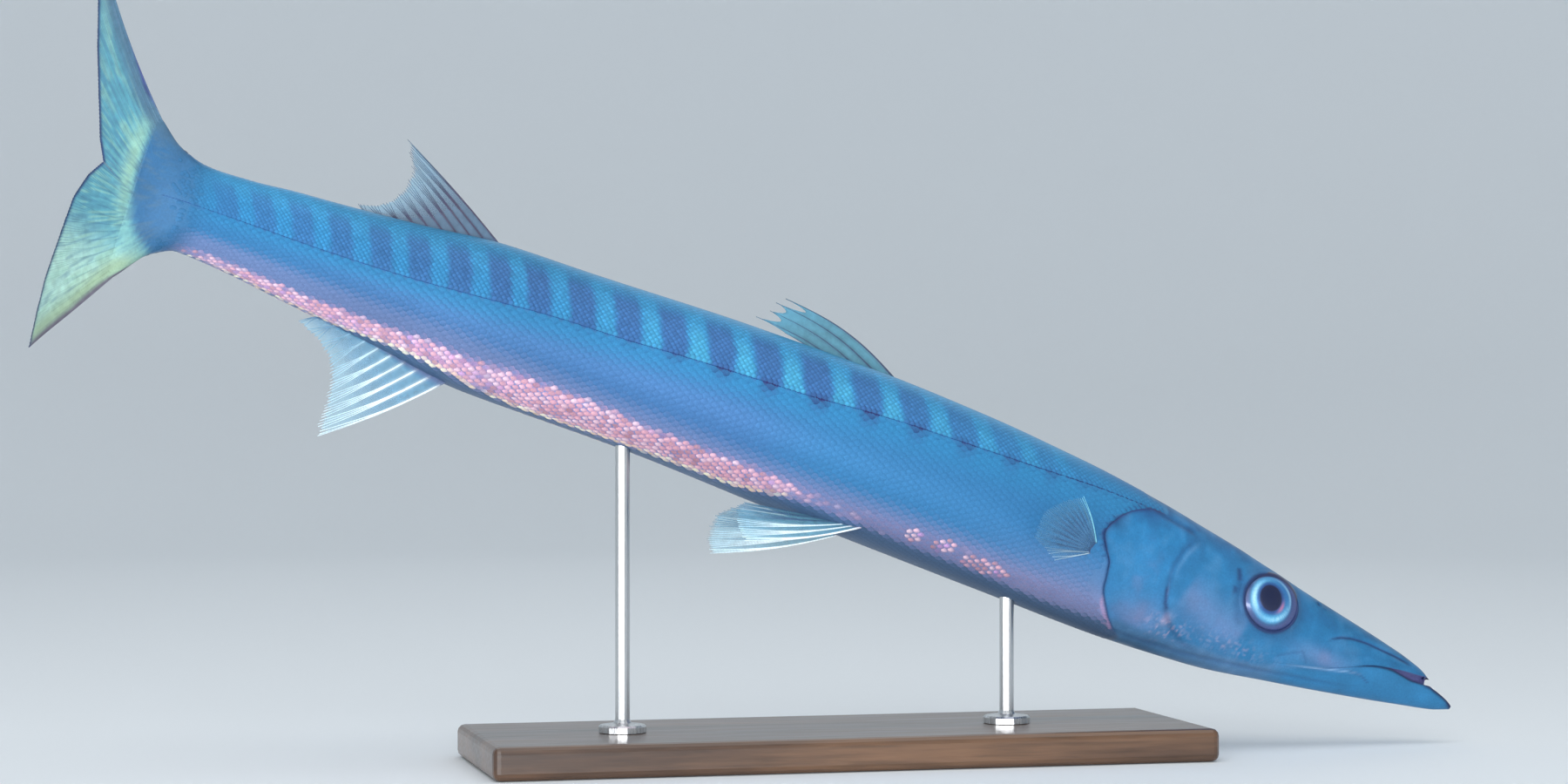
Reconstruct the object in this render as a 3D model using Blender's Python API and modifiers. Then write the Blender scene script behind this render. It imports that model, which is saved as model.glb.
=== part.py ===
import math

import bmesh
import bpy
import numpy as np
from mathutils import Matrix

# A barracuda gliding nose down, held over a wooden base by two steel rods.
# The world's origin is the middle of the base's underside.
# On the fish a place is (station, height, side): station runs back along the body from the
# tip of the lower jaw, height is above the axis from there to the tail's root, and side is
# to the fish's left. Tables below are in millimetres, everything else is in metres.

MM = 0.001
STANDARD_LENGTH = 0.800
GAP = 0.0003

# How the fish is held: dive and bank in the air, and the station over the base's middle.
DIVE = math.radians(19.76)
BANK = math.radians(9.0)
NOSE_HEIGHT = 0.020
BALANCE_STATION = 0.388

# The tail's stroke to the right: where it starts, its yaw at the root and tips of the fin.
STROKE_START = 0.400
STROKE_POWER = 2.2
ROOT_YAW = math.radians(27.0)
TIP_YAW = math.radians(72.0)
FIN_REACH = 0.120
FIN_LEAN = math.radians(16.0)
LEAN_START = 0.780

# The body's outline from the side and its half width from above.
BACK = ((0, 2.0), (18, 10.6), (26, 15.9), (51, 22.2), (103, 32.6), (130, 37.9), (155, 43.5),
        (180, 48.1), (206, 52.9), (257, 59.9), (320, 65.0), (383, 66.9), (458, 66.0),
        (555, 61.4), (603, 59.0), (652, 51.3), (700, 44.1), (724, 40.5), (748, 36.0),
        (776, 32.7), (790, 35.6), (806, 45.5))
BELLY = ((0, -1.2), (11, -4.8), (28, -8.0), (56, -13.0), (110, -21.4), (163, -28.2),
         (215, -29.8), (290, -27.9), (415, -24.8), (512, -21.8), (600, -23.1), (654, -18.4),
         (702, -15.4), (749, -13.4), (772, -14.2), (788, -22.3), (806, -43.5))
HALF_WIDTH = ((0, 2.2), (12, 5.2), (26, 8.2), (51, 12.0), (103, 19.0), (155, 27.0),
              (206, 34.5), (257, 38.5), (358, 40.0), (458, 39.0), (555, 36.0), (603, 33.0),
              (652, 27.5), (700, 21.5), (748, 16.5), (780, 12.0), (806, 1.4))
# Roundness of the section above and below its widest line: 2 is an ellipse, more is boxier.
UPPER_POWER = ((0, 2.0), (60, 2.4), (133, 2.9), (206, 2.4), (280, 2.1), (806, 2.0))
LOWER_POWER = ((0, 2.0), (60, 1.9), (133, 1.8), (206, 2.0), (300, 2.2), (806, 2.0))
RING_SIDES = 36

# Where the body is parted, and the stations that each length is drawn through.
HEAD_END = 222
CUTS = {"trunk_front": (HEAD_END, 375), "trunk_middle": (375, 520),
        "trunk_rear": (520, 655), "tail_stem": (655, 806)}
HEAD_STATIONS = (18, 20, 23, 28, 36, 48, 62, 78, 94, 110, 126, 142, 158, 174, 190, 206, 222)
JAW_STATIONS = (0, 2, 5, 9, 14, 20, 28, 38, 50, 62, 76, 92, 108, 122)
TRUNK_STEP = 25
STEM_STATIONS = (655, 679, 703, 727, 748, 764, 776, 785, 793, 800, 806)

# The line of the mouth along the side, back to the corner under the cheek.
MOUTH = ((0, 0.8), (4, 3.4), (10, 5.4), (18, 7.4), (26, 7.6), (36, 7.4), (45, 7.0), (55, 5.2),
         (63, 2.8), (69, 0.4), (80, -4.0), (92, -8.0), (111, -12.2), (122, -14.4))
MOUTH_OPEN = 0.5
LIP_RADIUS = 1.3
LOWER_LIP_STATIONS = range(8, 68, 7)
UPPER_LIP_STATIONS = range(22, 68, 6)
# What the lower jaw takes out of the head: where the cut is drawn, its depth and half width.
JAW_CUT_STATIONS = range(-4, 123, 6)
JAW_CUT_DEPTH = 60
JAW_CUT_WIDTH = 50

# The gill cover: angle round the section, then the stations of its front and free edges.
GILL_COVER = ((-62, 180, 226), (-45, 188, 231), (-25, 194, 234), (-8, 197, 236),
              (5, 197, 243.5), (20, 194, 241), (34, 190, 232), (43, 196, 221))
GILL_THICKNESS = 4.0
GILL_LIFT = (0.5, 2.0)
GILL_ROWS, GILL_COLUMNS = 15, 8
RECESS_RISE = 0.010

# The eye and its rim, which face a little forwards as the head narrows there.
EYE = (133, 15.0)
EYE_RADIUS = 18.5
EYE_BULGE = 8.5
EYE_SIDE = 17.6
EYE_TURN = math.radians(9.0)
RIM_RADIUS = 17.2
RIM_THICKNESS = 1.7
RIM_STEPS, RIM_SIDES = 24, 6
NOSTRIL = (98, 25.0)
NOSTRIL_RADIUS = 1.6
NOSTRIL_STRETCH = 1.7

# Fin rays: depth of a fin's sheet at root and margin, and how far a ray stands from it.
SHEET_ROOT, SHEET_EDGE = 1.1, 0.6
RAY_ROOT, RAY_EDGE = 0.45, 0.12

BASE_LENGTH, BASE_WIDTH, BASE_THICKNESS = 0.40, 0.13, 0.018
BASE_BEVEL = 0.004
ROD_STATIONS = {"stand_rod_front": 275, "stand_rod_rear": 508}
ROD_RADIUS = 0.004
ROD_OVERLAP = 0.012
ROD_SIDES = 16
FOOT_RADIUS, FOOT_THICKNESS = 0.013, 0.004
FOOT_ROUND, FOOT_COLLAR = 0.001, 0.003


def smooth_line(points):
    # A curve through the points with no overshoot between them, in metres.
    x, y = np.array(points, float).T * MM
    slope = np.diff(y) / np.diff(x)
    tangent = np.concatenate([slope[:1], np.zeros(len(slope) - 1), slope[-1:]])
    same = slope[:-1] * slope[1:] > 0
    tangent[1:-1][same] = 2 / (1 / slope[:-1][same] + 1 / slope[1:][same])

    def value(station):
        station = np.clip(station, x[0], x[-1])
        i = np.clip(np.searchsorted(x, station) - 1, 0, len(slope) - 1)
        width = x[i + 1] - x[i]
        t = (station - x[i]) / width
        rise = (3 - 2 * t) * t * t
        bend = t * (1 - t) * width * ((1 - t) * tangent[i] - t * tangent[i + 1])
        return y[i] + (y[i + 1] - y[i]) * rise + bend

    return value


def straight_line(points):
    # The same for plain numbers, with straight runs between the points.
    x, y = np.array(points, float).T
    return lambda station: np.interp(station, x * MM, y)


back = smooth_line(BACK)
belly = smooth_line(BELLY)
half_width = smooth_line(HALF_WIDTH)
mouth = smooth_line(MOUTH)
upper_power = straight_line(UPPER_POWER)
lower_power = straight_line(LOWER_POWER)


def axis_curve():
    # The body's axis seen from above: straight to STROKE_START, then turning to the right.
    station = np.arange(0.0, STANDARD_LENGTH + 2 * FIN_REACH, MM)
    body = np.clip((station - STROKE_START) / (STANDARD_LENGTH - STROKE_START), 0, 1)
    fin = np.clip((station - STANDARD_LENGTH) / FIN_REACH, 0, 1)
    yaw = ROOT_YAW * body**STROKE_POWER + (TIP_YAW - ROOT_YAW) * fin
    middle = (yaw[1:] + yaw[:-1]) / 2
    along = np.concatenate([[0], np.cumsum(np.cos(middle)) * MM])
    across = np.concatenate([[0], np.cumsum(np.sin(middle)) * MM])
    return station, yaw, along, across


AXIS = axis_curve()


def place(station, height, side):
    # A point of the fish, +X to its nose, +Y to its left and +Z to its back.
    station, height, side = np.broadcast_arrays(station, height, side)
    yaw, along, across = (np.interp(station, AXIS[0], line) for line in AXIS[1:])
    lean = FIN_LEAN * np.clip((station - LEAN_START) / (STANDARD_LENGTH + FIN_REACH - LEAN_START), 0, None)
    up = height * np.cos(lean) - side * np.sin(lean)
    left = height * np.sin(lean) + side * np.cos(lean)
    return np.stack([-along - left * np.sin(yaw), -across + left * np.cos(yaw), up], axis=-1)


def power(value, exponent):
    return np.sign(value) * np.abs(value) ** exponent


def section(station, angle, offset=0.0):
    # (height, side) of the body's skin at angles round it, 0 to the left and 90 degrees up.
    middle = (back(station) + belly(station)) / 2
    half_height = (back(station) - belly(station)) / 2
    width = half_width(station)
    bend = 2 / np.where(np.sin(angle) > 0, upper_power(station), lower_power(station))
    height = half_height * power(np.sin(angle), bend)
    side = width * power(np.cos(angle), bend)
    push = np.hypot(height / half_height**2, side / width**2)
    height = height + offset * height / half_height**2 / push
    side = side + offset * side / width**2 / push
    return middle + height, side


def skin_point(station, angle, offset=0.0):
    height, side = section(station, angle, offset)
    return place(station, height, side)


def side_at(station, height, offset=0.0):
    # How far to the side the skin lies at a height above the axis.
    middle = (back(station) + belly(station)) / 2
    half_height = (back(station) - belly(station)) / 2
    up = np.clip((height - middle) / half_height, -1, 1)
    exponent = np.where(up > 0, upper_power(station), lower_power(station))
    share = (1 - np.abs(up) ** exponent) ** (1 / exponent)
    return half_width(station) * share + offset


def fish_collection(name):
    collection = bpy.data.collections.new(name)
    bpy.context.scene.collection.children.link(collection)
    return collection


def material(name, color, roughness, metallic=0.0, alpha=1.0):
    made = bpy.data.materials.new(name)
    made.use_nodes = True
    shader = made.node_tree.nodes["Principled BSDF"]
    shader.inputs["Base Color"].default_value = (*color, 1.0)
    shader.inputs["Roughness"].default_value = roughness
    shader.inputs["Metallic"].default_value = metallic
    shader.inputs["Alpha"].default_value = alpha
    return made


def add_object(name, mesh, collection, parent=None, look=None):
    obj = bpy.data.objects.new(name, mesh)
    collection.objects.link(obj)
    obj.parent = parent
    if look:
        mesh.materials.append(look)
    return obj


def mesh_from(name, points, faces):
    mesh = bpy.data.meshes.new(name)
    mesh.from_pydata([tuple(p) for p in points], [], faces)
    shape = bmesh.new()
    shape.from_mesh(mesh)
    bmesh.ops.remove_doubles(shape, verts=shape.verts, dist=1e-7)
    bmesh.ops.recalc_face_normals(shape, faces=shape.faces)
    shape.to_mesh(mesh)
    shape.free()
    mesh.shade_smooth()
    mesh.set_sharp_from_angle(angle=math.radians(40))
    return mesh


def loft(name, rings):
    # A closed tube through rings of equally many points, with flat ends.
    count = len(rings[0])
    faces = [tuple(range(count)), tuple((len(rings) - 1) * count + i for i in range(count))]
    for r in range(len(rings) - 1):
        for i in range(count):
            j = (i + 1) % count
            faces.append((r * count + i, r * count + j, (r + 1) * count + j, (r + 1) * count + i))
    return mesh_from(name, np.concatenate(rings), faces)


def body_ring(station, offset=0.0):
    angle = np.radians(np.arange(RING_SIDES) * 360 / RING_SIDES - 90)
    return skin_point(station, angle, offset)


def join_or_cut(obj, other, operation):
    # The two shapes joined, or the first one cut by the second, as one plain mesh.
    bpy.context.view_layer.update()
    modifier = obj.modifiers.new("boolean", "BOOLEAN")
    modifier.operation = operation
    modifier.object = other
    graph = bpy.context.evaluated_depsgraph_get()
    mesh = bpy.data.meshes.new_from_object(obj.evaluated_get(graph))
    obj.modifiers.clear()
    obj.data = mesh
    keep_largest(obj)


def keep_largest(obj):
    # Booleans can leave loose scraps: only the surface with most faces stays.
    shape = bmesh.new()
    shape.from_mesh(obj.data)
    bmesh.ops.remove_doubles(shape, verts=shape.verts, dist=1e-6)
    left = set(shape.faces)
    shells = []
    while left:
        shell, edge = set(), [left.pop()]
        while edge:
            face = edge.pop()
            shell.add(face)
            near = {other for line in face.edges for other in line.link_faces} & left
            left -= near
            edge.extend(near)
        shells.append(shell)
    shells.sort(key=len)
    loose = [face for shell in shells[:-1] for face in shell]
    bmesh.ops.delete(shape, geom=loose, context="FACES")
    shape.to_mesh(obj.data)
    shape.free()


def hide_cutter(obj):
    obj.hide_render = True
    obj.display_type = "WIRE"


def cutter(name, mesh, parent):
    obj = add_object(name, mesh, cutters, parent)
    hide_cutter(obj)
    return obj


def drop(obj):
    bpy.data.objects.remove(obj)


def body_guard():
    # The whole body, swollen by the gap: whatever grows from the body is trimmed with it.
    stations = set(HEAD_STATIONS[:-1]) | set(STEM_STATIONS)
    for first, last in list(CUTS.values())[:-1]:
        stations |= set(trunk_stations(first, last))
    rings = [body_ring(station * MM, GAP) for station in sorted(stations)]
    rings.append(body_ring(STEM_STATIONS[-1] * MM + GAP, GAP))
    return cutter("body_guard", loft("body_guard", rings), pose)


def trunk_stations(first, last):
    count = math.ceil((last - first) / TRUNK_STEP)
    return [first + (last - first) * i / count for i in range(count + 1)]


def add_trunk():
    for name, (first, last) in CUTS.items():
        stations = list(STEM_STATIONS) if name == "tail_stem" else trunk_stations(first, last)
        places = [station * MM for station in stations]
        places[0] += GAP / 2
        if name != "tail_stem":
            places[-1] -= GAP / 2
        add_object(name, loft(name, [body_ring(p) for p in places]), fish, pose, looks["flank"])


def jaw_ring(station):
    # The body's section below the line of the mouth, closed over the top.
    count = RING_SIDES // 4
    roof = mouth(station) - MOUTH_OPEN * MM / 2
    floor = belly(station)
    turn = np.linspace(0, 1, count)
    height = floor + (roof - floor) * np.sin(turn * math.pi / 2) ** 2
    side = side_at(station, height)
    side[0] = 0.15 * side[-1]
    left = place(station, height, side)
    right = place(station, height, -side)
    return np.concatenate([left, right[::-1]])


def add_lower_jaw():
    rings = [jaw_ring(station * MM) for station in JAW_STATIONS]
    jaw = add_object("lower_jaw", loft("lower_jaw", rings), fish, pose, looks["jaw"])
    for side in (1, -1):
        lip = lip_tube(side, -(LIP_RADIUS + MOUTH_OPEN / 2), LOWER_LIP_STATIONS)
        join_or_cut(jaw, lip, "UNION")
        drop(lip)
    return jaw


def tube_mesh(name, points, radius, parent):
    # A round tube along the points as a plain mesh object.
    curve = bpy.data.curves.new(name, "CURVE")
    curve.dimensions = "3D"
    curve.bevel_depth = radius
    curve.bevel_resolution = 1
    curve.use_fill_caps = True
    spline = curve.splines.new("POLY")
    spline.points.add(len(points) - 1)
    for point, position in zip(spline.points, points):
        point.co = (*position, 1.0)
        point.radius = 1.0
    holder = add_object(name + "_line", curve, cutters, parent)
    bpy.context.view_layer.update()
    graph = bpy.context.evaluated_depsgraph_get()
    mesh = bpy.data.meshes.new_from_object(holder.evaluated_get(graph))
    drop(holder)
    shape = bmesh.new()
    shape.from_mesh(mesh)
    bmesh.ops.remove_doubles(shape, verts=shape.verts, dist=1e-6)
    bmesh.ops.recalc_face_normals(shape, faces=shape.faces)
    shape.to_mesh(mesh)
    shape.free()
    return cutter(name, mesh, parent)


def lip_tube(side, rise, stations):
    # A lip: a tube let half into the skin just above or below the line of the mouth.
    points = []
    for station in stations:
        height = mouth(station * MM) + rise * MM
        out = side_at(station * MM, height) - 0.5 * LIP_RADIUS * MM
        points.append(place(station * MM, height, side * out))
    return tube_mesh("lip", points, LIP_RADIUS * MM, pose)


def jaw_opening():
    # What the lower jaw takes out of the head: all that lies below the line of the mouth.
    rise, floor, width = MOUTH_OPEN * MM / 2, -JAW_CUT_DEPTH * MM, JAW_CUT_WIDTH * MM
    roof = [(s * MM, mouth(s * MM) + rise) for s in JAW_CUT_STATIONS]
    roof[0] = (roof[0][0], roof[1][1])
    roof.append((JAW_STATIONS[-1] * MM + GAP, mouth(JAW_STATIONS[-1] * MM) + rise))
    outline = [(roof[0][0], floor), *roof, (roof[-1][0], floor)]
    rings = [[place(s, h, side) for s, h in outline] for side in (-width, width)]
    return cutter("jaw_opening", loft("jaw_opening", np.array(rings)), pose)


def eye_frame(side):
    # Turns a shape made round the Z axis so that it looks out of the head.
    centre = place(EYE[0] * MM, EYE[1] * MM, side * EYE_SIDE * MM)
    outward = Matrix.Rotation(-side * math.pi / 2, 4, "X")
    turn = Matrix.Rotation(-side * EYE_TURN, 4, "Z")
    return Matrix.Translation(tuple(centre)) @ turn @ outward


def eye_mesh(name, side, grow=0.0):
    shape = bmesh.new()
    bmesh.ops.create_uvsphere(shape, u_segments=20, v_segments=10, radius=1.0)
    width = EYE_RADIUS * MM + grow
    depth = EYE_BULGE * MM + grow
    bmesh.ops.scale(shape, vec=(width, width, depth), verts=shape.verts)
    bmesh.ops.transform(shape, matrix=eye_frame(side), verts=shape.verts)
    mesh = bpy.data.meshes.new(name)
    shape.to_mesh(mesh)
    shape.free()
    mesh.shade_smooth()
    return mesh


def rim_ring(side):
    # The fold of skin round the eye, a ring that follows the side of the head.
    centre = eye_frame(side)
    points = []
    for i in range(RIM_STEPS):
        angle = i * math.tau / RIM_STEPS
        station = EYE[0] * MM - RIM_RADIUS * MM * math.cos(angle) * math.cos(EYE_TURN)
        height = EYE[1] * MM + RIM_RADIUS * MM * math.sin(angle)
        out = side_at(station, height) - 0.3 * RIM_THICKNESS * MM
        points.append(np.array(place(station, height, side * out)))
    rings = []
    middle = np.array(centre.translation)
    for i, point in enumerate(points):
        along = points[(i + 1) % RIM_STEPS] - points[i - 1]
        along /= np.linalg.norm(along)
        out = point - middle
        out -= along * out.dot(along)
        out /= np.linalg.norm(out)
        third = np.cross(along, out)
        turns = np.arange(RIM_SIDES) * math.tau / RIM_SIDES
        rings.append([point + RIM_THICKNESS * MM * (math.cos(t) * out + math.sin(t) * third) for t in turns])
    faces = []
    for i in range(RIM_STEPS):
        for k in range(RIM_SIDES):
            this, after = i * RIM_SIDES, (i + 1) % RIM_STEPS * RIM_SIDES
            other = (k + 1) % RIM_SIDES
            faces.append((this + k, this + other, after + other, after + k))
    return cutter("rim", mesh_from("rim", np.concatenate(rings), faces), pose)


def nostril(side):
    shape = bmesh.new()
    bmesh.ops.create_uvsphere(shape, u_segments=8, v_segments=6, radius=NOSTRIL_RADIUS * MM)
    out = side_at(NOSTRIL[0] * MM, NOSTRIL[1] * MM)
    centre = place(NOSTRIL[0] * MM, NOSTRIL[1] * MM, side * out)
    bmesh.ops.scale(shape, vec=(NOSTRIL_STRETCH, 1.0, 1.0), verts=shape.verts)
    bmesh.ops.translate(shape, vec=tuple(centre), verts=shape.verts)
    mesh = bpy.data.meshes.new("nostril")
    shape.to_mesh(mesh)
    shape.free()
    return cutter("nostril", mesh, pose)


def add_head():
    rings = [body_ring(station * MM) for station in HEAD_STATIONS]
    rings[-1] = body_ring(HEAD_END * MM - GAP / 2)
    head = add_object("head", loft("head", rings), fish, pose, looks["head"])
    opening = jaw_opening()
    join_or_cut(head, opening, "DIFFERENCE")
    drop(opening)
    for side in (1, -1):
        lip = lip_tube(side, LIP_RADIUS + MOUTH_OPEN / 2, UPPER_LIP_STATIONS)
        rim = rim_ring(side)
        pit = nostril(side)
        socket = cutter("socket", eye_mesh("socket", side, GAP), pose)
        for other, operation in ((lip, "UNION"), (rim, "UNION"), (pit, "DIFFERENCE"), (socket, "DIFFERENCE")):
            join_or_cut(head, other, operation)
            drop(other)
        name = "eye_left" if side > 0 else "eye_right"
        add_object(name, eye_mesh(name, side), fish, pose, looks["eye"])
    return head


def gill_cover_mesh(name, side, spread, lift, depth):
    # A curved plate in the side of the head. Spread widens it, lift raises its outer face.
    angle, front, rear = np.array(GILL_COVER, float).T
    turn = np.linspace(angle[0], angle[-1], GILL_ROWS)
    along = np.linspace(0, 1, GILL_COLUMNS)[None, :]
    front = smooth_line(np.column_stack([angle, front]))(turn * MM)[:, None] - spread
    rear = smooth_line(np.column_stack([angle, rear]))(turn * MM)[:, None] + spread
    station = front + (rear - front) * along
    widen = np.linspace(-1, 1, GILL_ROWS) * math.degrees(spread / half_width(0.215))
    turn = np.radians(turn + widen)[:, None] + 0 * along
    if side < 0:
        turn = math.pi - turn
    rise = lift(along + 0 * turn)
    outer = skin_point(station, turn, rise)
    inner = skin_point(station, turn, -depth + 0 * rise)
    return sheet_mesh(name, outer, inner)


def sheet_mesh(name, outer, inner):
    # Two grids of points as the two faces of one closed plate, split into like triangles.
    rows, columns = outer.shape[:2]
    count = rows * columns
    at = lambda r, c: r * columns + c
    faces = []
    for r in range(rows - 1):
        for c in range(columns - 1):
            a, b, d, e = at(r, c), at(r, c + 1), at(r + 1, c + 1), at(r + 1, c)
            faces += [(a, b, d), (a, d, e)]
            faces += [(a + count, d + count, b + count), (a + count, e + count, d + count)]
    edge = [at(0, c) for c in range(columns)] + [at(r, columns - 1) for r in range(1, rows)]
    edge += [at(rows - 1, c) for c in range(columns - 2, -1, -1)]
    edge += [at(r, 0) for r in range(rows - 2, 0, -1)]
    for i, a in enumerate(edge):
        b = edge[(i + 1) % len(edge)]
        faces += [(a, a + count, b + count), (a, b + count, b)]
    return mesh_from(name, np.concatenate([outer.reshape(-1, 3), inner.reshape(-1, 3)]), faces)


def add_gill_covers(neighbours):
    low, high = (value * MM for value in GILL_LIFT)
    thickness = GILL_THICKNESS * MM
    for name, side in (("gill_cover_left", 1), ("gill_cover_right", -1)):
        lift = lambda along: low + (high - low) * along**2
        over = lambda along: RECESS_RISE + 0 * along
        recess = cutter("recess", gill_cover_mesh("recess", side, GAP, over, thickness + GAP), pose)
        for neighbour in neighbours:
            join_or_cut(neighbour, recess, "DIFFERENCE")
        drop(recess)
        mesh = gill_cover_mesh(name, side, 0.0, lift, thickness)
        add_object(name, mesh, fish, pose, looks["head"])


def spread_line(points, share):
    # Points given by hand as (share, station, height, side), read at other shares.
    table = np.array(points, float)
    return np.stack([np.interp(share, table[:, 0], table[:, k] * MM) for k in (1, 2, 3)], axis=-1)


def fin_mesh(name, rays, roots, tips, bow, rows=6, rag=0.06, ray_scale=1.0):
    # A fan of rays joined by a thinner sheet. Roots and tips are lines across the fan, bow
    # is how far the first and last ray bend, and rag is how far the sheet falls short.
    columns = 2 * rays - 1
    share = np.linspace(0, 1, columns)
    root, tip = spread_line(roots, share), spread_line(tips, share)
    is_ray = np.arange(columns) % 2 == 0
    reach = np.where(is_ray, 1.0, 1 - rag)
    along = np.linspace(0, 1, rows)[:, None, None] * reach[None, :, None]
    chord = tip - root
    bend = (bow[0] + (bow[1] - bow[0]) * share)[:, None] * MM
    across = np.stack([chord[:, 1], -chord[:, 0], 0 * chord[:, 0]], axis=-1)
    across /= np.linalg.norm(across, axis=1)[:, None]
    middle = root + chord * along + across * bend * np.sin(along * math.pi)
    points = place(middle[..., 0], middle[..., 1], middle[..., 2])
    normal = np.cross(np.gradient(points, axis=0), np.gradient(points, axis=1))
    normal /= np.linalg.norm(normal, axis=2)[..., None]
    sheet = SHEET_ROOT + (SHEET_EDGE - SHEET_ROOT) * along
    ray = (RAY_ROOT + (RAY_EDGE - RAY_ROOT) * along) * ray_scale
    half = (sheet / 2 + np.where(is_ray[None, :, None], ray, 0)) * MM
    return sheet_mesh(name, points + normal * half, points - normal * half)


def add_fin(name, guard, look, **shape):
    # The root is drawn a little inside the body, and the guard trims it back to the skin.
    fin = add_object(name, fin_mesh(name, **shape), fish, pose, looks[look])
    if guard:
        join_or_cut(fin, guard, "DIFFERENCE")


def mirrored(points):
    return [(share, station, height, -side) for share, station, height, side in points]


def add_fins(guard):
    add_fin("dorsal_fin_front", guard, "fin_dark", rays=5, rag=0.12, ray_scale=1.8, bow=(-3.5, 0),
            roots=[(0, 376, 66, 0), (1, 410, 65, 0)],
            tips=[(0, 447, 88.6, 0), (0.25, 451, 84.5, 0), (0.5, 454, 79, 0), (0.75, 459, 73, 0),
                  (1, 441, 70.2, 0)])
    add_fin("dorsal_fin_rear", guard, "fin_dark", rays=10, rag=0.08, bow=(-1.5, 1.0),
            roots=[(0, 602, 56.5, 0), (1, 674, 44.5, 0)],
            tips=[(0, 674, 92.4, 0), (0.12, 671, 86.5, 0), (0.3, 666, 78, 0), (0.5, 667, 67, 0),
                  (0.7, 671, 58.5, 0), (0.85, 678, 52.5, 0), (1, 688, 49, 0)])
    add_fin("anal_fin", guard, "fin_clear", rays=10, rag=0.08, bow=(2.0, -1.0),
            roots=[(0, 609, -21.5, 0), (1, 683, -15, 0)],
            tips=[(0, 669, -75.3, 0), (0.12, 670, -69, 0), (0.3, 670, -58, 0), (0.5, 671, -45, 0),
                  (0.7, 676, -34, 0), (0.85, 685, -27, 0), (1, 698, -22, 0)])
    lobe = dict(rays=9, rows=8, rag=0.03, ray_scale=1.2)
    add_fin("caudal_fin_upper", None, "tail_fin", bow=(4.0, 0), **lobe,
            roots=[(0, 806.3, 45.8, 0), (1, 806.3, 1.4, 0)],
            tips=[(0, 870, 120.3, 0), (0.12, 866, 104, 0), (0.28, 859, 85, 0), (0.48, 853, 62.6, 0),
                  (0.68, 845, 40.5, 0), (0.86, 837, 20, 0), (1, 831, 10.4, 0)])
    add_fin("caudal_fin_lower", None, "tail_fin", bow=(0, 2.5), **lobe,
            roots=[(0, 806.3, 0.9, 0), (1, 806.3, -43.8, 0)],
            tips=[(0, 831, 9.9, 0), (0.12, 838, 0, 0), (0.28, 844, -14.6, 0), (0.48, 847, -37.8, 0),
                  (0.68, 850, -60.6, 0), (0.84, 850, -79, 0), (1, 849, -97, 0)])
    pelvic_roots = [(0, 370, -21, 17), (1, 386, -22, 8)]
    pelvic_tips = [(0, 442, -54, 35), (0.3, 447, -48, 30), (0.7, 447, -36, 21), (1, 438, -30, 13)]
    pectoral_roots = [(0, 248, 12, 37), (1, 250, 1, 37)]
    pectoral_tips = [(0, 274, 23.5, 75), (0.25, 284, 18, 76), (0.55, 294, 8, 75), (0.8, 294, -6, 71),
                     (1, 277, -13, 66)]
    for side, turn in (("left", list), ("right", mirrored)):
        flip = 1 if side == "left" else -1
        add_fin("pelvic_fin_" + side, guard, "fin_clear", rays=6, rag=0.07, bow=(2.5, 0), ray_scale=1.3,
                roots=turn(pelvic_roots), tips=turn(pelvic_tips))
        add_fin("pectoral_fin_" + side, guard, "fin_clear", rays=11, rag=0.05, bow=(-1.5 * flip, 0),
                rows=5, roots=turn(pectoral_roots), tips=turn(pectoral_tips))


def add_base():
    bpy.ops.mesh.primitive_cube_add(size=1, location=(0, 0, BASE_THICKNESS / 2))
    base = bpy.context.object
    base.name = base.data.name = "stand_base"
    base.data.transform(Matrix.Diagonal((BASE_LENGTH, BASE_WIDTH, BASE_THICKNESS, 1)))
    for collection in base.users_collection:
        collection.objects.unlink(base)
    stand.objects.link(base)
    bevel = base.modifiers.new("bevel", "BEVEL")
    bevel.width = BASE_BEVEL
    bevel.segments = 3
    bevel.limit_method = "ANGLE"
    base.data.materials.append(looks["wood"])


def add_rod(name, station, guard):
    # A foot and a rod turned as one, standing on the base and cut to the belly's slope.
    touch = pose.matrix_world @ Matrix.Translation(tuple(place(station * MM, belly(station * MM), 0.0)))
    top = touch.translation.z + ROD_OVERLAP
    floor = BASE_THICKNESS + GAP
    plate = floor + FOOT_THICKNESS
    profile = [(0, top), (ROD_RADIUS, top), (ROD_RADIUS, plate + FOOT_COLLAR),
               (ROD_RADIUS + FOOT_ROUND, plate + FOOT_ROUND), (FOOT_RADIUS - FOOT_ROUND, plate),
               (FOOT_RADIUS, plate - FOOT_ROUND), (FOOT_RADIUS, floor), (0, floor)]
    mesh = bpy.data.meshes.new(name)
    mesh.from_pydata([(radius, 0, height) for radius, height in profile],
                     [(i, i + 1) for i in range(len(profile) - 1)], [])
    rod = add_object(name, mesh, stand, None, looks["steel"])
    rod.location = (touch.translation.x, touch.translation.y, 0)
    screw = rod.modifiers.new("screw", "SCREW")
    screw.steps = screw.render_steps = ROD_SIDES
    screw.use_merge_vertices = True
    screw.merge_threshold = 0.00001
    join_or_cut(rod, guard, "DIFFERENCE")
    rod.data.shade_smooth()
    rod.data.set_sharp_from_angle(angle=math.radians(40))


for leftover in list(bpy.data.objects):
    bpy.data.objects.remove(leftover)

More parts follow.
